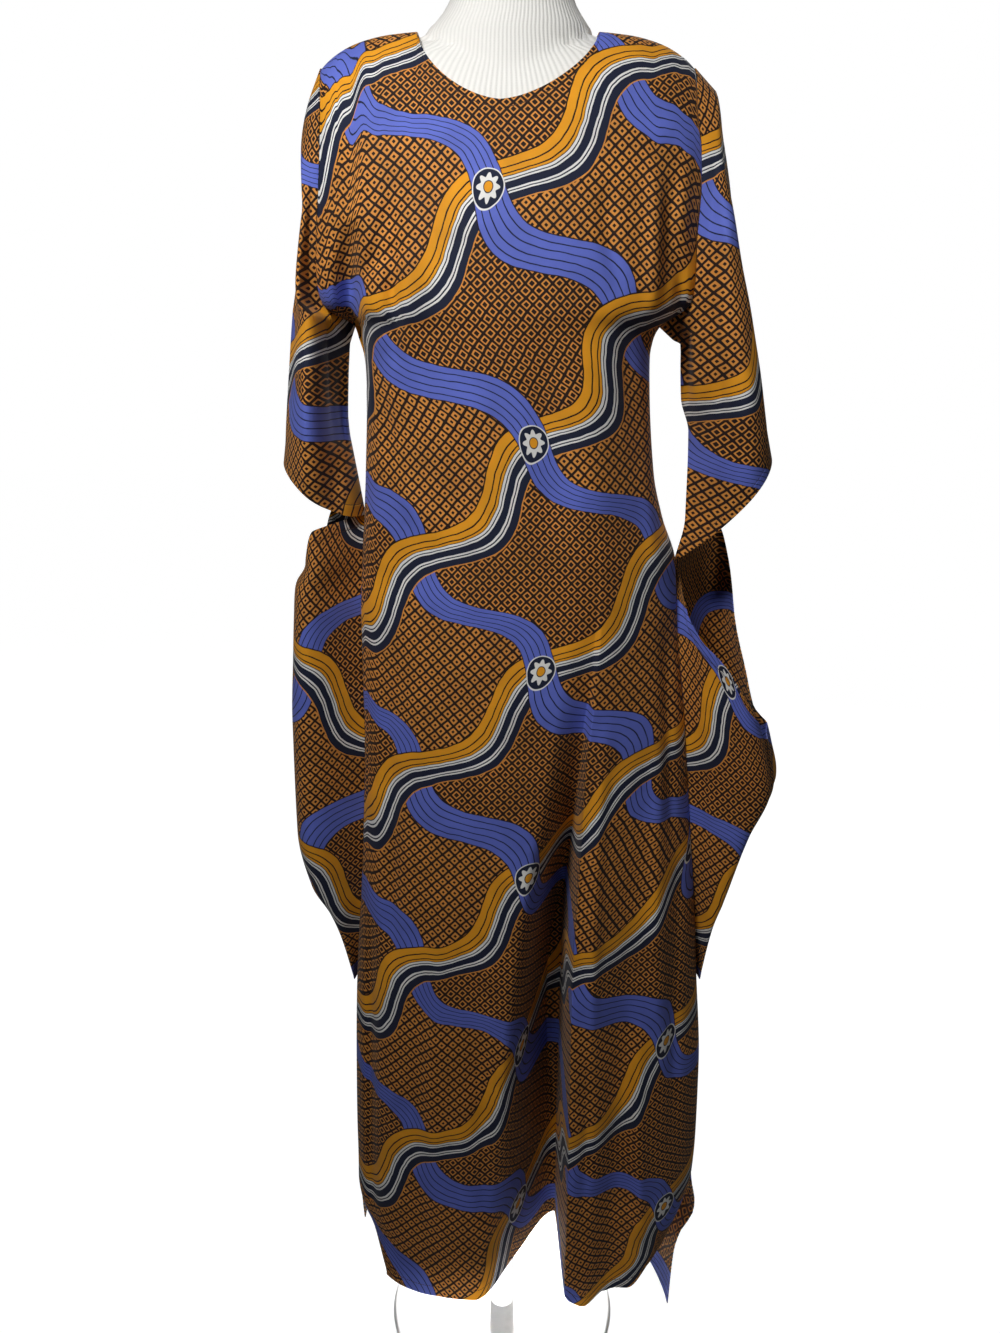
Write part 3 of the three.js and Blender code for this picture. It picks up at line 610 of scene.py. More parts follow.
def sleeve_grid(side, sections, edge_name):
    """Rings of a sleeve from the armhole to the hand opening. side is -1 left, 1 right."""
    angle, armhole = armhole_ring(side, edge_name)
    up = (armhole[:, 2] - UNDERARM_Z) / (SHOULDER_END_Z - UNDERARM_Z)
    last = sections["k"][-1]

    def ring(k):
        value = {name: along(sections, "k", name, k) for name in sections}
        near_rim = ease((k - 2) / (last - 2))
        climb, box = mix(1, RIMS[edge_name][0], near_rim), mix(SLEEVE_BOX, RIMS[edge_name][1], near_rim)
        z = mix(value["inner_z"], value["outer_z"], up**climb)
        tube_x = mix(value["inner_x"], value["outer_x"], up**box)
        clear_x = body(np.minimum(z, SHOULDER_END_Z), edge_name) + SEAM + SLEEVE_STAND_OFF * (k + 1)
        x = np.where(z > UNDERARM_Z - SLEEVE_CLEAR_BELOW, np.maximum(tube_x, clear_x), tube_x)
        y = mix(armhole[:, 1], -value["depth"] * np.sin(angle), value["follow"])
        return np.stack([side * x, y, z], axis=-1)

    first = ring(1.0)
    rings = []
    for k in np.linspace(0, last, SLEEVE_RINGS):
        rings.append(ring(k) if k >= 1 else mix(armhole, first, k))
    points = np.array(rings)
    crease_front_and_back(points)
    crease_side(points, side, edge_name)
    return points


def drape_grid(side, sections, edge_name, opening):
    """The sheet of a side drape, from the front seam round its outer fold to the back seam."""
    top = math.ceil(opening["z"][0])
    level, at = np.meshgrid(
        np.linspace(top, SIDE_SEAM_TOP, DRAPE_ROWS), np.linspace(-1, 1, DRAPE_PARTS + 1), indexing="ij"
    )
    near_rim = ease(1 - (top - level) / OPENING_REACH)
    z = np.maximum(level + (along(opening, "at", "z", at) - top) * near_rim, SIDE_SEAM_TOP)
    edge = body(z, edge_name)
    outer = np.maximum(along(sections, "z", "outer", z), edge + DRAPE_STAND_OUT)
    out = (1 + np.cos(math.pi * at)) / 2
    x = mix(edge + SEAM, outer, out**SLEEVE_BOX)
    front, back = section_depth(side * edge, z, "front"), section_depth(side * edge, z, "back")
    seam_y = np.maximum(DRAPE_SEAM_DEPTH, np.where(at < 0, front, back))
    turn_in = np.sign(at) * seam_y * np.abs(at) ** DRAPE_SEAM_POWER
    y = along(sections, "z", "depth", z) * np.sin(math.pi * at) + turn_in
    points = np.stack([side * x, y, z], axis=-1)
    crease_front_and_back(points)
    crease_side(points, side, edge_name)
    return points


# ---------------------------------------------------------------- laying out the print


def steps(points, axis, weights):
    """Lengths between neighbouring points along a grid axis, with each coordinate weighted."""
    return np.sqrt(((np.diff(points, axis=axis) ** 2) * weights).sum(axis=-1))


def run_from(lengths, axis, start):
    """Distance along a grid axis from its row or column number start, negative before it."""
    total = np.concatenate([np.zeros_like(np.take(lengths, [0], axis)), lengths.cumsum(axis)], axis)
    return total - np.take(total, [start], axis)


def panel_print(points, columns):
    """Cloth coordinates of a panel: across from the middle, and up from a level row, in metres."""
    middle = int(np.abs(columns - PRINT_MIDDLE).argmin())
    level = int(np.abs(panel_levels() - LEVEL_ROW_Z).argmin())
    across = run_from(steps(points, 1, (1, PRINT_DEPTH_WEIGHT, 0)), 1, middle)
    up = -run_from(steps(points, 0, (0, 1, 1)), 0, level)
    return np.stack([across, up + LEVEL_ROW_Z], axis=-1) * MM


def panel_edges(points, columns):
    """Distance of panel points past the nearest stitching line, and the run along it, in metres."""
    down = run_from(steps(points, 0, (1, 1, 1)), 0, 0)
    over = run_from(steps(points, 1, (1, 1, 1)), 1, 0)
    in_neck = (columns > NECK_START) & (columns < NECK_END)
    far = 1000.0  # beyond any stitching
    neck = np.where(in_neck, down, far) - sizes().neck_inset / MM
    hem = down[-1:] - down
    slit = np.where(points[..., 2] < SLIT_TOP, np.minimum(over, over[:, -1:] - over), far)
    free = np.minimum(hem, slit) - sizes().hem_inset / MM
    along_edge = np.where(slit < hem, points[..., 2], over)
    return np.stack([np.minimum(neck, free), along_edge], axis=-1) * MM


def sleeve_print(side, points, shift):
    """Cloth coordinates of a sleeve: level over its front, and on over its outer fold to the back."""
    z, deep = points[..., 2], np.abs(points[..., 1])
    fold, quarter = SLEEVE_PARTS // 2, SLEEVE_PARTS // 4
    part = np.arange(SLEEVE_PARTS + 1)
    widest = np.where(part < fold, deep[:, [quarter]], deep[:, [3 * quarter]])
    round_fold = np.where(np.abs(part - fold) < quarter, np.maximum(0, widest - deep), 0)
    front = side * points[..., 0] + round_fold
    outer = np.interp(z, z[::-1, fold], front[::-1, fold])
    across = side * np.where(part < fold, 2 * outer - front, front)
    return np.stack([across, z], axis=-1) * MM + np.array(shift)


def drape_print(points, shift):
    """Cloth coordinates of a side drape, from its front seam round its outer fold."""
    across = run_from(steps(points, 1, (1, 1, 0)), 1, 0)
    return np.stack([across, points[..., 2]], axis=-1) * MM + np.array(shift)


def open_edge(points, row):
    """Distance past the stitching beside an open edge, on a row of points, and the run along it."""
    down = run_from(steps(points, 0, (1, 1, 1)), 0, row)
    over = run_from(steps(points, 1, (1, 1, 1)), 1, 0)
    return np.stack([np.abs(down) - sizes().hem_inset / MM, over], axis=-1) * MM


# ---------------------------------------------------------------- meshes


def grid_normals(points, closed, flip):
    """Unit normals of a grid of points, from the cross product of its two directions."""
    if closed:
        ring = points[:, :-1]
        across = np.roll(ring, -1, 1) - np.roll(ring, 1, 1)
        across = np.concatenate([across, across[:, :1]], 1)
    else:
        across = np.gradient(points, axis=1)
    normals = np.cross(np.gradient(points, axis=0), across)
    lengths = np.linalg.norm(normals, axis=-1, keepdims=True)
    return flip * normals / np.maximum(lengths, 1e-9)


def cloth_wall(name, points, cloth_uv, edge_uv, flip, closed=False):
    """A closed wall on a grid of outer points: a sheet, or a tube open at both ends if closed."""
    rows, count = points.shape[:2]
    normals = grid_normals(points, closed, flip)
    inner = points - normals * (sizes().cloth / MM)
    vertices = np.concatenate([points.reshape(-1, 3), inner.reshape(-1, 3)]) * MM
    own = np.arange(rows * count).reshape(rows, count)
    outside = np.stack([own[:-1, :-1], own[1:, :-1], own[1:, 1:], own[:-1, 1:]], -1).reshape(-1, 4)
    inside = outside[:, ::-1] + rows * count

    def rim(line):
        """Faces that close the wall along a line of outer points."""
        a, b = line[:-1], line[1:]
        return np.stack([a, b, b + rows * count, a + rows * count], -1)

    rims = [rim(own[0]), rim(own[-1, ::-1])]
    if not closed:
        rims += [rim(own[::-1, 0]), rim(own[:, -1])]
    faces = np.concatenate([outside, inside, *rims])
    if flip < 0:
        faces = faces[:, ::-1]
    corners = faces.reshape(-1)
    if closed:
        weld = np.arange(2 * rows * count)
        seam = own[:, -1]
        weld[seam] = own[:, 0]
        weld[seam + rows * count] = own[:, 0] + rows * count
        faces = weld[faces]
        used, faces = np.unique(faces, return_inverse=True)
        vertices = vertices[used]
        faces = faces.reshape(-1, 4)
    mesh = bpy.data.meshes.new(name)
    mesh.from_pydata(vertices, [], faces.tolist())
    for layer, uv in (("Cloth", cloth_uv), ("Edge", edge_uv)):
        both_sides = np.tile(uv.reshape(-1, 2), (2, 1))
        mesh.uv_layers.new(name=layer).data.foreach_set("uv", both_sides[corners].ravel())
    return finish_mesh(name, mesh, CLOTH_CRISP)


def finish_mesh(name, mesh, crisp_degrees):
    """Smooth shading but for crisp edges, and an object for the mesh."""
    mesh.validate()
    mesh.polygons.foreach_set("use_smooth", np.ones(len(mesh.polygons), bool))
    mesh.set_sharp_from_angle(angle=math.radians(crisp_degrees))
    mesh.update()
    piece = bpy.data.objects.new(name, mesh)
    bpy.context.collection.objects.link(piece)
    return piece


def ring_solid(name, rings, uv):
    """A solid through closed rings from the top down, with flat ends."""
    rows, count = rings.shape[:2]
    own = np.arange(rows * count).reshape(rows, count)
    after = np.roll(own, -1, 1)
    sides = np.stack([own[:-1], own[1:], after[1:], after[:-1]], -1).reshape(-1, 4)
    faces = [*sides.tolist(), own[0].tolist(), own[-1, ::-1].tolist()]
    mesh = bpy.data.meshes.new(name)
    mesh.from_pydata(rings.reshape(-1, 3) * MM, [], faces)
    columns = np.concatenate([uv, uv[:, -1:] * 2 - uv[:, -2:-1]], 1)
    turn = np.arange(count)
    side_uv = np.stack([columns[:-1, turn], columns[1:, turn], columns[1:, turn + 1],
                        columns[:-1, turn + 1]], 2).reshape(-1, 2)
    ends = np.concatenate([uv[0], uv[-1, ::-1]])
    mesh.uv_layers.new(name="Cloth").data.foreach_set("uv", np.concatenate([side_uv, ends]).ravel())
    return finish_mesh(name, mesh, SOLID_CRISP)


def lathe(name, profile):
    """A turned solid from (radius, height) pairs running from the top axis to the bottom axis."""
    angle = np.linspace(0, 2 * math.pi, LATHE_SIDES, endpoint=False)
    radius, height = np.array(profile, float).T
    rings = np.stack([
        radius[:, None] * np.cos(angle), radius[:, None] * np.sin(angle),
        np.repeat(height[:, None], LATHE_SIDES, 1),
    ], -1)
    run = np.broadcast_to(angle / (2 * math.pi), rings.shape[:2])
    return ring_solid(name, rings, np.stack([run, rings[..., 2] * MM], -1))


def wear(piece, material, node):
    """Gives a piece its finish and puts it in the place of its solid."""
    piece.data.materials.append(shared_material(*material))
    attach(piece, BODY_NAME)
    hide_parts(node)
    return piece


# ---------------------------------------------------------------- node helpers


class Graph:
    """Adds nodes to a tree, with sockets or plain values as their inputs."""

    def __init__(self, tree):
        self.tree = tree

    def add(self, kind, values=(), **settings):
        """A node with its settings and its inputs, by number or by name."""
        node = self.tree.nodes.new(kind)
        for name, value in settings.items():
            setattr(node, name, value)
        for name, value in dict(values).items():
            self.join(value, node.inputs[name])
        return node

    def join(self, value, socket):
        if isinstance(value, bpy.types.NodeSocket):
            self.tree.links.new(value, socket)
        else:
            socket.default_value = value

    def math(self, operation, *values):
        return self.add("ShaderNodeMath", enumerate(values), operation=operation).outputs[0]

    def vector(self, operation, *values):
        return self.add("ShaderNodeVectorMath", enumerate(values), operation=operation).outputs[0]

    def mix(self, share, first, second):
        """A colour between two, by a share."""
        node = self.add("ShaderNodeMix", data_type="RGBA")
        for value, socket in ((share, node.inputs[0]), (first, node.inputs[6]), (second, node.inputs[7])):
            if isinstance(value, tuple) and len(value) == 3:
                value = (*value, 1)
            self.join(value, socket)
        return node.outputs[2]

    def step(self, value, limit, soft):
        """0 below a limit and 1 above it, over a soft width."""
        node = self.add(
            "ShaderNodeMapRange", {0: value, 1: limit - soft / 2, 2: limit + soft / 2},
            interpolation_type="SMOOTHSTEP",
        )
        return node.outputs[0]

    def below(self, value, limit, soft):
        """1 below a limit and 0 above it, over a soft width."""
        return self.math("SUBTRACT", 1.0, self.step(value, limit, soft))

    def near(self, value, middle):
        """Distance of a value from a middle."""
        return self.math("ABSOLUTE", self.math("SUBTRACT", value, middle))

    def split(self, vector):
        """The X, Y and Z of a vector."""
        return self.add("ShaderNodeSeparateXYZ", {0: vector}).outputs

    def between(self, share, low, high, start=0.0, end=1.0):
        """A value from low to high, as a share runs from start to end."""
        node = self.add("ShaderNodeMapRange", {0: share, 1: start, 2: end, 3: low, 4: high})
        return node.outputs[0]

    def bump(self, height, strength, distance):
        node = self.add("ShaderNodeBump", {"Strength": strength, "Distance": distance, "Height": height})
        return node.outputs[0]

    def seen_by_camera(self):
        """1 for what the camera sees itself, and 0 for the light that things throw on each other."""
        return self.add("ShaderNodeLightPath").outputs["Is Camera Ray"]

    def group(self, name, build, values=()):
        """A node of a shared shader group."""
        return self.add("ShaderNodeGroup", values, node_tree=shared(name, build))

    def noise(self, vector, scale, detail=2.0):
        node = self.add("ShaderNodeTexNoise", {"Vector": vector, "Scale": scale, "Detail": detail})
        return node.outputs["Fac"]

    def ramp(self, share, stops):
        """Stripes of plain colour that start at (position, colour) stops."""
        node = self.add("ShaderNodeValToRGB", {0: share})
        ramp = node.color_ramp
        ramp.interpolation = "CONSTANT"
        while len(ramp.elements) < len(stops):
            ramp.elements.new(0.5)
        for element, (position, value) in zip(ramp.elements, stops):
            element.position = position
            element.color = (*value, 1)
        return node.outputs[0]


def new_group(name, inputs, outputs):
    """An empty shader group with named inputs and outputs, and its graph."""
    tree = bpy.data.node_groups.new(name, "ShaderNodeTree")
    for way, sockets in (("INPUT", inputs), ("OUTPUT", outputs)):
        for socket_name, (kind, default) in sockets.items():
            socket = tree.interface.new_socket(socket_name, in_out=way, socket_type=f"NodeSocket{kind}")
            if default is not None:
                socket.default_value = default
    graph = Graph(tree)
    start = tree.nodes.new("NodeGroupInput").outputs
    end = tree.nodes.new("NodeGroupOutput").inputs
    return tree, graph, start, end


def shared(name, build):
    """A shader group that is built once and used in several materials."""
    return bpy.data.node_groups.get(name) or build(name)


def build_lattice(name):
    """Small squares with dark hearts: a mask of their light parts."""
    tree, g, start, end = new_group(
        name, {"Vector": ("Vector", None), "Pitch": ("Float", 0.012), "Heart": ("Float", 0.3)},
        {"Mask": ("Float", None)},
    )
    cell = g.vector("DIVIDE", start["Vector"], g.add("ShaderNodeCombineXYZ", {
        0: start["Pitch"], 1: start["Pitch"], 2: 1.0}).outputs[0])
    parts = g.split(g.vector("FRACTION", cell))
    reach = [g.math("MULTIPLY", g.near(part, 0.5), 2.0) for part in parts[:2]]
    ring = g.math("SMOOTH_MAX", *reach, SQUARE_CORNER)
    square = g.below(ring, SQUARE_REACH, 0.1)
    heart = g.step(g.math("SUBTRACT", ring, start["Heart"]), 0.0, 0.1)
    g.join(g.math("MULTIPLY", square, heart), end["Mask"])
    return tree


def build_band(name):
    """Signed distance to the nearest of a set of evenly spaced lines, and the line's number."""
    tree, g, start, end = new_group(
        name, {"Run": ("Float", 0.0), "Spacing": ("Float", 0.17)},
        {"Distance": ("Float", None), "Number": ("Float", None)},
    )
    shifted = g.math("ADD", start["Run"], 0.5)
    number = g.math("FLOOR", shifted)
    offset = g.math("SUBTRACT", g.math("SUBTRACT", shifted, number), 0.5)
    g.join(g.math("MULTIPLY", offset, start["Spacing"]), end["Distance"])
    g.join(number, end["Number"])
    return tree


def build_weave(name):
    """Plain weave: a height from crossing threads and a slow unevenness."""
    tree, g, start, end = new_group(
        name, {"Vector": ("Vector", None), "Thread": ("Float", 0.0005)},
        {"Height": ("Float", None), "Unevenness": ("Float", None)},
    )
    turns = [g.math("SINE", g.math("DIVIDE", g.math("MULTIPLY", part, math.pi), start["Thread"]))
             for part in g.split(start["Vector"])[:2]]
    slub = g.noise(start["Vector"], 900.0)
    g.join(g.math("ADD", g.math("MULTIPLY", turns[0], turns[1]), slub), end["Height"])
    g.join(g.noise(start["Vector"], 22.0, 4.0), end["Unevenness"])
    return tree


def build_topstitch(name):
    """A row of stitches on the line where distance is 0: a thread mask and a height."""
    tree, g, start, end = new_group(
        name, {"Distance": ("Float", 0.0), "Run": ("Float", 0.0), "Stitch": ("Float", 0.0032)},
        {"Thread": ("Float", None), "Height": ("Float", None)},
    )
    off = g.math("ABSOLUTE", start["Distance"])
    on_line = g.below(off, 0.00045, 0.0003)
    phase = g.math("FRACT", g.math("DIVIDE", start["Run"], start["Stitch"]))
    dash = g.below(g.near(phase, 0.5), 0.36, 0.12)
    thread = g.math("MULTIPLY", on_line, dash)
    groove = g.below(off, 0.0012, 0.0022)
    turned = g.below(start["Distance"], 0.001, 0.002)
    height = g.math("SUBTRACT", g.math("MULTIPLY", turned, 0.7), g.math("MULTIPLY", groove, 0.8))
    g.join(g.math("ADD", height, g.math("MULTIPLY", thread, 0.9)), end["Height"])
    g.join(thread, end["Thread"])
    return tree


PRINT_SHADES = ("orange", "ground", "ribbon", "navy", "mustard", "white")
# Stripes of the striped band from its warm side (0) to its dark side (1).
STRIPES = (
    (0.000, "ground"), (0.030, "mustard"), (0.200, "ground"), (0.232, "mustard"), (0.345, "ground"),
    (0.372, "mustard"), (0.420, "ground"), (0.435, "white"), (0.485, "navy"), (0.510, "white"),
    (0.550, "navy"), (0.700, "white"), (0.745, "navy"), (0.770, "white"), (0.810, "navy"),
    (0.970, "orange"),
)
SQUARE_REACH = 0.73  # width of a small square, as a share of the lattice's pitch
SQUARE_CORNER = 0.22  # how round its corners are
SQUARE_HEARTS = (0.3, 0.44)  # widths of its dark heart, by turns
SHAKE = 0.0022  # metres by which hand-drawn edges shake, over bumps of about 1 / SHAKE_SCALE
SHAKE_SCALE = 60.0
WAVES = {"ribbon": (0.11, 0.4), "striped": (0.09, 2.1)}  # how far the bands sway, and how late
STRIPED_HALF = 0.0235  # metres, as all sizes below
RIBBON_HALF = 0.0185
RIBBON_SWELL = 0.0045
RIBBON_LINES = (-0.62, -0.22, 0.2, 0.6)  # fine lines, as shares of the ribbon's half width
ROSETTE_RADIUS = 0.0185
ROSETTE_RIM = 0.0014
ROSETTE_HEART = ((0.0058, "navy"), (0.0048, "mustard"))
PETALS = 8.0
PETAL_RADIUS = 0.0115
PETAL_DEPTH = 0.0022


def build_print(name):
    """The kaftan's print: a trellis of blue ribbons and striped bands over small squares."""
    shades = {key: tuple(getattr(colours(), key)) for key in PRINT_SHADES}
    tree, g, start, end = new_group(name, {"Vector": ("Vector", None)}, {"Color": ("Color", None)})
    wobble = g.add("ShaderNodeTexNoise",
                   {"Vector": start["Vector"], "Scale": SHAKE_SCALE, "Detail": 1.0}).outputs["Color"]
    shake = g.vector("MULTIPLY", g.vector("SUBTRACT", wobble, (0.5, 0.5, 0.5)), (SHAKE, SHAKE, 0.0))
    place = g.vector("ADD", start["Vector"], shake)
    parts = g.split(place)
    across = g.math("DIVIDE", parts[0], sizes().repeat_across)
    up = g.math("DIVIDE", parts[1], sizes().repeat_down)
    spacing = 1 / math.hypot(1 / sizes().repeat_across, 1 / sizes().repeat_down)

    def wavy(run, other, band):
        """A run whose lines sway from side to side along their length."""
        sway, lag = WAVES[band]
        turn = g.math("SINE", g.math("ADD", g.math("MULTIPLY", other, 2 * math.pi), lag))
        return g.math("ADD", run, g.math("MULTIPLY", turn, sway))

    rising, falling = g.math("ADD", across, up), g.math("SUBTRACT", across, up)
    bands = {}
    for band, run in (("ribbon", wavy(rising, falling, "ribbon")),
                      ("striped", wavy(falling, rising, "striped"))):
        lines = g.group("Band lines", build_band, {"Run": run, "Spacing": spacing}).outputs
        bands[band] = {"run": run, "distance": lines["Distance"], "number": lines["Number"]}
    ribbon_band, striped_band = bands["ribbon"], bands["striped"]

    # small squares standing on a corner, with larger hearts in every other field of the trellis
    floors = [g.math("FLOOR", band["run"]) for band in bands.values()]
    field = g.math("PINGPONG", g.math("ADD", *floors), 1.0)
    turned = g.add("ShaderNodeVectorRotate", {"Vector": place, "Angle": math.pi / 4},
                   rotation_type="Z_AXIS").outputs[0]
    small, large = (
        g.group("Square lattice", build_lattice,
                {"Vector": turned, "Pitch": sizes().lattice_pitch, "Heart": heart}).outputs["Mask"]
        for heart in SQUARE_HEARTS
    )
    mask = g.math("ADD", small, g.math("MULTIPLY", field, g.math("SUBTRACT", large, small)))
    squares = g.mix(mask, shades["ground"], shades["orange"])

    # blue ribbon with fine lines and a dark outline, narrower and wider by turns
    wave = g.math("SINE", g.math("MULTIPLY", striped_band["run"], math.pi))
    part = g.math("DIVIDE", ribbon_band["distance"],
                  g.math("ADD", RIBBON_HALF, g.math("MULTIPLY", wave, RIBBON_SWELL)))
    out = g.math("ABSOLUTE", part)
    ribbon_cover = g.below(out, 1.0, 0.03)
    ribbon = g.mix(g.step(out, 0.945, 0.03), shades["ribbon"], shades["ground"])
    for line in RIBBON_LINES:
        ribbon = g.mix(g.below(g.near(part, line), 0.03, 0.025), ribbon, shades["navy"])

    # striped band
    share = g.math("DIVIDE", g.math("ADD", striped_band["distance"], STRIPED_HALF), 2 * STRIPED_HALF)
    striped_cover = g.below(g.near(share, 0.5), 0.5, 0.02)
    striped = g.ramp(share, [(position, shades[key]) for position, key in STRIPES])

    # at each crossing one of the two lies over the other, by turns
    crossing = g.math("ADD", ribbon_band["number"], striped_band["number"])
    ribbon_over = g.math("SUBTRACT", 1.0, g.math("PINGPONG", crossing, 1.0))
    first = g.mix(ribbon_cover, g.mix(striped_cover, squares, striped), ribbon)
    second = g.mix(striped_cover, g.mix(ribbon_cover, squares, ribbon), striped)
    trellis = g.mix(ribbon_over, second, first)

    # a rosette on every crossing where the ribbon lies over
    offsets = [band["distance"] for band in bands.values()]
    radius = g.math("SQRT", g.math("ADD", *(g.math("POWER", offset, 2.0) for offset in offsets)))
    around = g.math("ARCTAN2", *offsets)
    petals = g.math("MULTIPLY", g.math("COSINE", g.math("MULTIPLY", around, PETALS)), PETAL_DEPTH)
    rosette = g.mix(g.step(g.math("ADD", radius, petals), PETAL_RADIUS, 0.0006), shades["white"],
                    shades["navy"])
    for limit, shade in ROSETTE_HEART:
        rosette = g.mix(g.below(radius, limit, 0.0004), rosette, shades[shade])
    rosette = g.mix(g.step(radius, ROSETTE_RADIUS - ROSETTE_RIM, 0.0004), rosette, shades["white"])
    inside = g.below(radius, ROSETTE_RADIUS, 0.0005)
    g.join(g.mix(g.math("MULTIPLY", inside, ribbon_over), trellis, rosette), end["Color"])
    return tree


# ---------------------------------------------------------------- materials

THREAD_COLOUR = (0.055, 0.024, 0.012)
KNIT_RIBS = 104  # round the dress form
KNIT_ROW = 0.0024  # metres


def shared_material(name, build):
    """A material that is built once and used on several pieces."""
    material = bpy.data.materials.get(name)
    if not material:
        material = bpy.data.materials.new(name)
        material.use_nodes = True
        build(Graph(material.node_tree), material.node_tree.nodes["Principled BSDF"].inputs)
    return material


def settle(sockets, **values):
    """Sets plain shader inputs, whose names are given with _ for each space."""
    for name, value in values.items():
        sockets[name.replace("_", " ")].default_value = value


def uv_map(g, name):
    return g.add("ShaderNodeUVMap", uv_map=name).outputs[0]


def toned(name, share):
    """A colour setting, darkened to a share of itself."""
    return tuple(value * share for value in getattr(colours(), name))


def printed_cotton(g, shader):
    """Wax-printed plain-weave cotton with topstitched edges."""
    cloth, edge = uv_map(g, "Cloth"), g.split(uv_map(g, "Edge"))
    pattern = g.group("Trellis print", build_print, {"Vector": cloth}).outputs["Color"]
    weave = g.group("Plain weave", build_weave, {"Vector": cloth}).outputs
    stitch = g.group("Topstitch", build_topstitch, {"Distance": edge[0], "Run": edge[1]}).outputs
    dyed = g.vector("SCALE", pattern)
    tone = g.between(weave["Unevenness"], 0.86, 1.1, 0.3, 0.7)
    g.join(tone, dyed.node.inputs["Scale"])
    g.join(g.mix(stitch["Thread"], dyed, THREAD_COLOUR), shader["Base Color"])
    g.join(g.between(weave["Unevenness"], 0.68, 0.84), shader["Roughness"])
    settle(shader, Specular_IOR_Level=0.28, Sheen_Weight=0.06, Sheen_Roughness=0.5)
    threads = g.bump(weave["Height"], 0.22, 0.0002)
    sewing = g.bump(stitch["Height"], 0.8, 0.0008)
    g.join(threads, sewing.node.inputs["Normal"])
    g.join(sewing, shader["Normal"])


def rib_knit(g, shader):
    """Cream rib knit stretched over the dress form, with painted shade darkening the grooves between its
    ribs.
    """
    parts = g.split(uv_map(g, "Cloth"))
    wave = g.math("SINE", g.math("MULTIPLY", parts[0], 2 * math.pi * KNIT_RIBS))
    rib_height_and_groove_shade = g.math("POWER", g.math("ADD", g.math("MULTIPLY", wave, 0.5), 0.5), 0.7)
    loops = g.math("SINE", g.math("MULTIPLY", parts[1], 2 * math.pi / KNIT_ROW))
    height = g.math("ADD", rib_height_and_groove_shade, g.math("MULTIPLY", loops, 0.08))
    # painted shade: the knit's colour falls to 0.88 of itself in the grooves between the ribs
    g.join(g.mix(rib_height_and_groove_shade, toned("knit", 0.88), toned("knit", 1)), shader["Base Color"])
    settle(shader, Roughness=0.9, Sheen_Weight=0.15)
    g.join(g.bump(height, 0.5, 0.0008), shader["Normal"])


def white_enamel(g, shader):
    """Smooth white enamel on steel, with faint orange peel and scuffs."""
    place = g.add("ShaderNodeTexCoord").outputs["Object"]
    scuffs = g.noise(place, 38.0, 5.0)
    worn = g.step(scuffs, 0.62, 0.14)
    g.join(g.mix(worn, toned("enamel", 1), toned("enamel", 0.9)), shader["Base Color"])
    g.join(g.between(scuffs, 0.24, 0.46), shader["Roughness"])
    settle(shader, Coat_Weight=0.3)
    g.join(g.bump(g.noise(place, 420.0), 0.1, 0.0004), shader["Normal"])


def studio_floor(g, shader):
    """Matt floor with a painted glow that makes it look white to the camera, a little dimmer near the stand
    as painted shade, and lights the object only softly.
    """
    place = g.add("ShaderNodeTexCoord").outputs["Object"]
    patches = g.noise(place, 3.0, 4.0)
    g.join(g.mix(patches, toned("floor", 0.97), toned("floor", 1)), shader["Base Color"])
    settle(shader, Roughness=0.85)
    away = g.add("ShaderNodeVectorMath", {0: place}, operation="LENGTH").outputs["Value"]
    # painted glow: the floor glows near-white to the camera only, 0.95 near the stand and 0.99 further out,
    # a painted shade round the stand
    painted_glow = g.mix(g.step(away, 1.4, 1.8), (0.95, 0.95, 0.95), (0.99, 0.99, 0.99))
    g.join(painted_glow, shader["Emission Color"])
    g.join(g.between(g.seen_by_camera(), 0.05, 1.0), shader["Emission Strength"])


# ---------------------------------------------------------------- the stage's places, in metres

FLOOR_HALF = 9.0
LIGHTS = (
    # name, place, target, size, power in watts, spread in degrees
    ("Key", (-0.5, -1.1, 2.15), (0, 0, 1.25), 0.45, 4.8, 90),
    ("Fill", (1.1, -1.2, 2.2), (0, 0, 1.3), 1.0, 1.8, 180),
    ("Back", (0.6, 1.9, 1.9), (0, 0, 1), 1.4, 26, 180),
    ("Pole_wash", (-0.1, -1.1, 0.1), (0, 0, 0.03), 0.1, 0.3, 18),
    ("Base_wash", (0, 0.9, 0.13), (0, 0, 0), 0.12, 3, 22),
)
SURROUND_LIGHT = 0.035  # strength of the white backdrop's own light on the object
CAMERA_PLACE = (-0.003, -1.245, 1.308)
CAMERA_TILT = 17  # degrees down
CAMERA_LENS = 30.52

# ---------------------------------------------------------------- operators


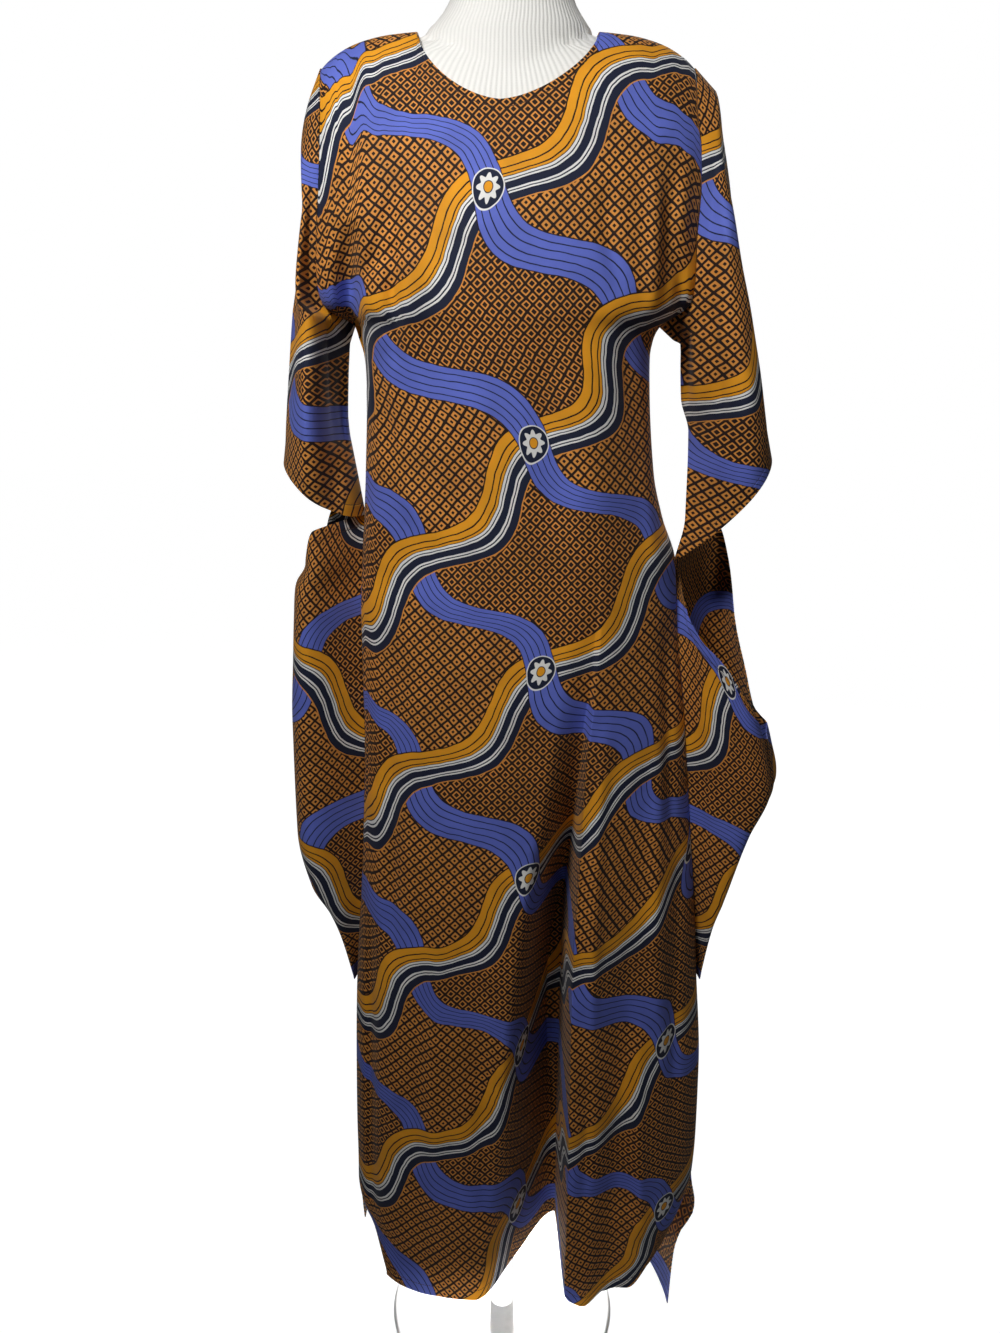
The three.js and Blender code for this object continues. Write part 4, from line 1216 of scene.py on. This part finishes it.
class KAFTAN_OT_stage(bpy.types.Operator):
    """Makes the floor, the lights, the white surround and the camera"""

    bl_idname = "kaftan.stage"
    bl_label = "Stage"

    def execute(self, context):
        self.add_floor()
        self.add_lights()
        self.add_surround(context.scene)
        self.add_camera(context.scene)
        context.scene.view_settings.view_transform = "Standard"
        return {"FINISHED"}

    def add_floor(self):
        mesh = bpy.data.meshes.new("Studio_floor")
        corners = [(x * FLOOR_HALF, y * FLOOR_HALF, 0) for x, y in ((-1, -1), (1, -1), (1, 1), (-1, 1))]
        mesh.from_pydata(corners, [], [(0, 1, 2, 3)])
        floor = bpy.data.objects.new("Studio_floor", mesh)
        bpy.context.collection.objects.link(floor)
        floor.data.materials.append(shared_material("Studio floor", studio_floor))

    def add_lights(self):
        for light in LIGHTS:
            self.area_light(*light)

    def area_light(self, name, place, target, size, power, spread):
        light = bpy.data.lights.new(name, "AREA")
        light.shape = "DISK"
        light.size = size
        light.energy = power
        light.spread = math.radians(spread)
        lamp = bpy.data.objects.new(name, light)
        bpy.context.collection.objects.link(lamp)
        lamp.location = place
        lamp.rotation_euler = (Vector(target) - lamp.location).to_track_quat("-Z", "Y").to_euler()

    def add_surround(self, scene):
        """A white backdrop that lights the object only softly."""
        world = bpy.data.worlds.new("Surround")
        world.use_nodes = True
        scene.world = world
        g = Graph(world.node_tree)
        backdrop = world.node_tree.nodes["Background"]
        backdrop.inputs["Color"].default_value = (1, 1, 1, 1)
        g.join(g.between(g.seen_by_camera(), SURROUND_LIGHT, 1.0), backdrop.inputs["Strength"])

    def add_camera(self, scene):
        camera = bpy.data.cameras.new("Camera")
        camera.sensor_fit = "VERTICAL"
        camera.sensor_height = 36.0
        camera.lens = CAMERA_LENS
        holder = bpy.data.objects.new("Camera", camera)
        bpy.context.collection.objects.link(holder)
        holder.location = CAMERA_PLACE
        holder.rotation_euler = (math.radians(90 - CAMERA_TILT), 0, 0)
        scene.camera = holder


class KAFTAN_OT_dress_form(bpy.types.Operator):
    """Makes the covered torso that wears the kaftan"""

    bl_idname = "kaftan.dress_form"
    bl_label = "Dress form"

    def execute(self, context):
        low, high = (corner.z / MM for corner in map(Vector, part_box("dress_form")))
        heights = np.linspace(high, low, round((high - low) / FORM_STEP))
        angle = np.linspace(0, 2 * math.pi, FORM_SIDES, endpoint=False)
        rings = np.array([self.ring(z, angle) for z in heights])
        top = self.rounded_end(rings[0], high)
        rings = np.concatenate([top, rings[1:]])
        share = np.broadcast_to(angle / (2 * math.pi), rings.shape[:2])
        piece = ring_solid("Dress_form", rings, np.stack([share, rings[..., 2] * MM], -1))
        wear(piece, ("Rib knit", rib_knit), "dress_form")
        return {"FINISHED"}

    def ring(self, z, angle):
        """The form's outline at a height: the torso under the cloth, or the neck."""
        lift = FORM_LIFT + FORM_DIP * ease((z - FORM_DIP_START) / FORM_DIP_HEIGHT)
        face = np.where(np.sin(angle) < 0, 0, 1)
        cloth_half = (body(z + lift, "left") + body(z + lift, "right")) / 2
        cloth_half = cloth_half + body(z + lift, "flare_left") - lift
        below = ease((TORSO_TOP - z) / TORSO_BLEND)
        half = mix(cloth_half, min(cloth_half, along(FORM, "z", "half", z)), below)
        depths = []
        for name in ("front", "back"):
            cloth_depth = body(z + lift, name) - lift
            depths.append(mix(cloth_depth, min(cloth_depth, along(FORM, "z", name, z)), below))
        torso = self.oval(angle, half, np.array(depths)[face], TORSO_SQUARE)
        if z + lift >= NECK_POINT_Z - 1:
            torso = torso * 0
        neck = {name: along(FORM_NECK, "z", name, z) for name in FORM_NECK}
        radius = np.maximum(torso, self.oval(angle, neck["half"], neck["depth"], 2))
        middle = max(FORM_MIDDLE, neck["middle"])
        return np.stack([
            middle + radius * np.cos(angle), radius * np.sin(angle), np.full_like(angle, z),
        ], -1)

    def oval(self, angle, half, depth, square):
        """Radius of a boxy oval in one direction. A square of 2 is an ellipse."""
        across, deep = np.abs(np.cos(angle)) / half, np.abs(np.sin(angle)) / depth
        return (across**square + deep**square) ** (-1 / square)

    def rounded_end(self, ring, high):
        """Rings that round the neck's top edge over."""
        centre = ring.mean(axis=0)
        turns = np.linspace(0, math.pi / 2, 6)
        rounded = []
        for turn in turns:
            share = 1 - NECK_ROLL * (1 - math.sin(turn)) / np.linalg.norm(ring[0] - centre)
            row = centre + (ring - centre) * share
            row[:, 2] = high - NECK_ROLL * (1 - math.cos(turn))
            rounded.append(row)
        return np.array(rounded)


class KAFTAN_OT_stand(bpy.types.Operator):
    """Makes the pole and the round base"""

    bl_idname = "kaftan.stand"
    bl_label = "Stand"

    def execute(self, context):
        (_, _, low), (_, _, high) = (Vector(corner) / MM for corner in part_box("stand_pole"))
        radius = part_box("stand_pole")[1][0] / MM
        profile = [(AXIS, high), (radius, high), (radius, (high + low) / 2), (radius, low), (AXIS, low)]
        wear(lathe("Stand_pole", profile), ("White enamel", white_enamel), "stand_pole")
        lowest, highest = (Vector(corner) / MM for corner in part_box("stand_base"))
        base = self.base_profile(highest.x, lowest.z, highest.z, radius)
        wear(lathe("Stand_base", base), ("White enamel", white_enamel), "stand_base")
        return {"FINISHED"}

    def base_profile(self, reach, floor, crown, pole):
        """A shallow dome with a rolled edge."""
        dome = [(AXIS, crown), (pole + POLE_FLANGE, crown)]
        for t in np.linspace(0.1, 1, 12):
            radius = mix(pole + POLE_FLANGE + BASE_ROLL, reach - BASE_ROLL, t)
            dome.append((radius, BASE_EDGE + (crown - BASE_EDGE) * (1 - t) ** 1.6))
        for turn in np.linspace(0.2, math.pi / 2, 5):
            out, up = BASE_ROLL * math.sin(turn), BASE_ROLL * math.cos(turn)
            dome.append((reach - BASE_ROLL + out, BASE_EDGE - BASE_ROLL + up))
        return [*dome, (reach, floor + BASE_FOOT), (reach - BASE_FOOT, floor), (AXIS, floor)]


def make_panel(name, node, face, columns, neck, hem, folds, edge):
    """The front or back panel."""
    points = panel_grid(face, columns, neck, hem, folds, edge)
    depth = face * points[..., 1]
    points[..., 1] = face * np.where(points[..., 2] > SLIT_TOP, np.maximum(depth, SEAM / 2), depth)
    piece = cloth_wall(name, points, panel_print(points, columns), panel_edges(points, columns), -face)
    wear(piece, ("Printed cotton", printed_cotton), node)


class KAFTAN_OT_front(bpy.types.Operator):
    """Makes the front panel with its deep lapped fold"""

    bl_idname = "kaftan.front"
    bl_label = "Front"

    def execute(self, context):
        make_panel("Front_panel", "front_panel", -1, front_columns(), FRONT_NECK, FRONT_HEM,
                   FRONT_FOLDS, body)
        return {"FINISHED"}


class KAFTAN_OT_back(bpy.types.Operator):
    """Makes the back panel with its longer pointed corner"""

    bl_idname = "kaftan.back"
    bl_label = "Back"

    def execute(self, context):
        make_panel("Back_panel", "back_panel", 1, back_columns(), BACK_NECK, BACK_HEM,
                   BACK_FOLDS, freed_back)
        return {"FINISHED"}


class KAFTAN_OT_sleeves(bpy.types.Operator):
    """Makes both sleeves, which hang as empty tubes"""

    bl_idname = "kaftan.sleeves"
    bl_label = "Sleeves"

    def execute(self, context):
        for side, name, sections, shift, cut, area in (
            (-1, "left", LEFT_SLEEVE, (0.11, 0.04), (0.46, 0.40), 0.12),
            (1, "right", RIGHT_SLEEVE, (-0.06, 0.09), (0.50, 0.44), 0.14),
        ):
            points = sleeve_grid(side, sections, name)
            piece = cloth_wall(
                f"{name.title()}_sleeve", points, sleeve_print(side, points, shift), open_edge(points, -1),
                side, closed=True,
            )
            wear(piece, ("Printed cotton", printed_cotton), f"{name}_sleeve")
        return {"FINISHED"}


class KAFTAN_OT_side_drapes(bpy.types.Operator):
    """Makes the loose cloth below each hand opening"""

    bl_idname = "kaftan.side_drapes"
    bl_label = "Side drapes"

    def execute(self, context):
        for side, name, sections, opening, shift, cut, area in (
            (-1, "left", LEFT_DRAPE, LEFT_OPENING, (0.05, 0.12), (0.34, 0.56), 0.15),
            (1, "right", RIGHT_DRAPE, RIGHT_OPENING, (0.17, 0.02), (0.34, 0.55), 0.13),
        ):
            points = drape_grid(side, sections, name, opening)
            piece = cloth_wall(
                f"{name.title()}_side_drape", points, drape_print(points, shift), open_edge(points, 0), side,
            )
            wear(piece, ("Printed cotton", printed_cotton), f"{name}_side_drape")
        return {"FINISHED"}


class KAFTAN_PT_panel(bpy.types.Panel):
    """Lists the kaftan's pieces and settings"""

    bl_idname = "KAFTAN_PT_panel"
    bl_label = "Kaftan"
    bl_space_type = "VIEW_3D"
    bl_region_type = "UI"
    bl_category = "Kaftan"

    def draw(self, context):
        for operator in OPERATORS:
            self.layout.operator(operator.bl_idname)
        for group in (context.scene.kaftan_sizes, context.scene.kaftan_colours):
            for name in group.__annotations__:
                self.layout.prop(group, name)


OPERATORS = (
    KAFTAN_OT_stage,
    KAFTAN_OT_dress_form,
    KAFTAN_OT_stand,
    KAFTAN_OT_front,
    KAFTAN_OT_back,
    KAFTAN_OT_sleeves,
    KAFTAN_OT_side_drapes,
)
CLASSES = (KaftanSizes, KaftanColours, *OPERATORS, KAFTAN_PT_panel)


def register():
    for item in CLASSES:
        bpy.utils.register_class(item)
    bpy.types.Scene.kaftan_sizes = PointerProperty(type=KaftanSizes)
    bpy.types.Scene.kaftan_colours = PointerProperty(type=KaftanColours)


def unregister():
    del bpy.types.Scene.kaftan_colours
    del bpy.types.Scene.kaftan_sizes
    for item in reversed(CLASSES):
        bpy.utils.unregister_class(item)


def main():
    register()
    for name in ("stage", "dress_form", "stand", "front", "back", "sleeves", "side_drapes"):
        getattr(bpy.ops.kaftan, name)()


if __name__ == "__main__":
    main()
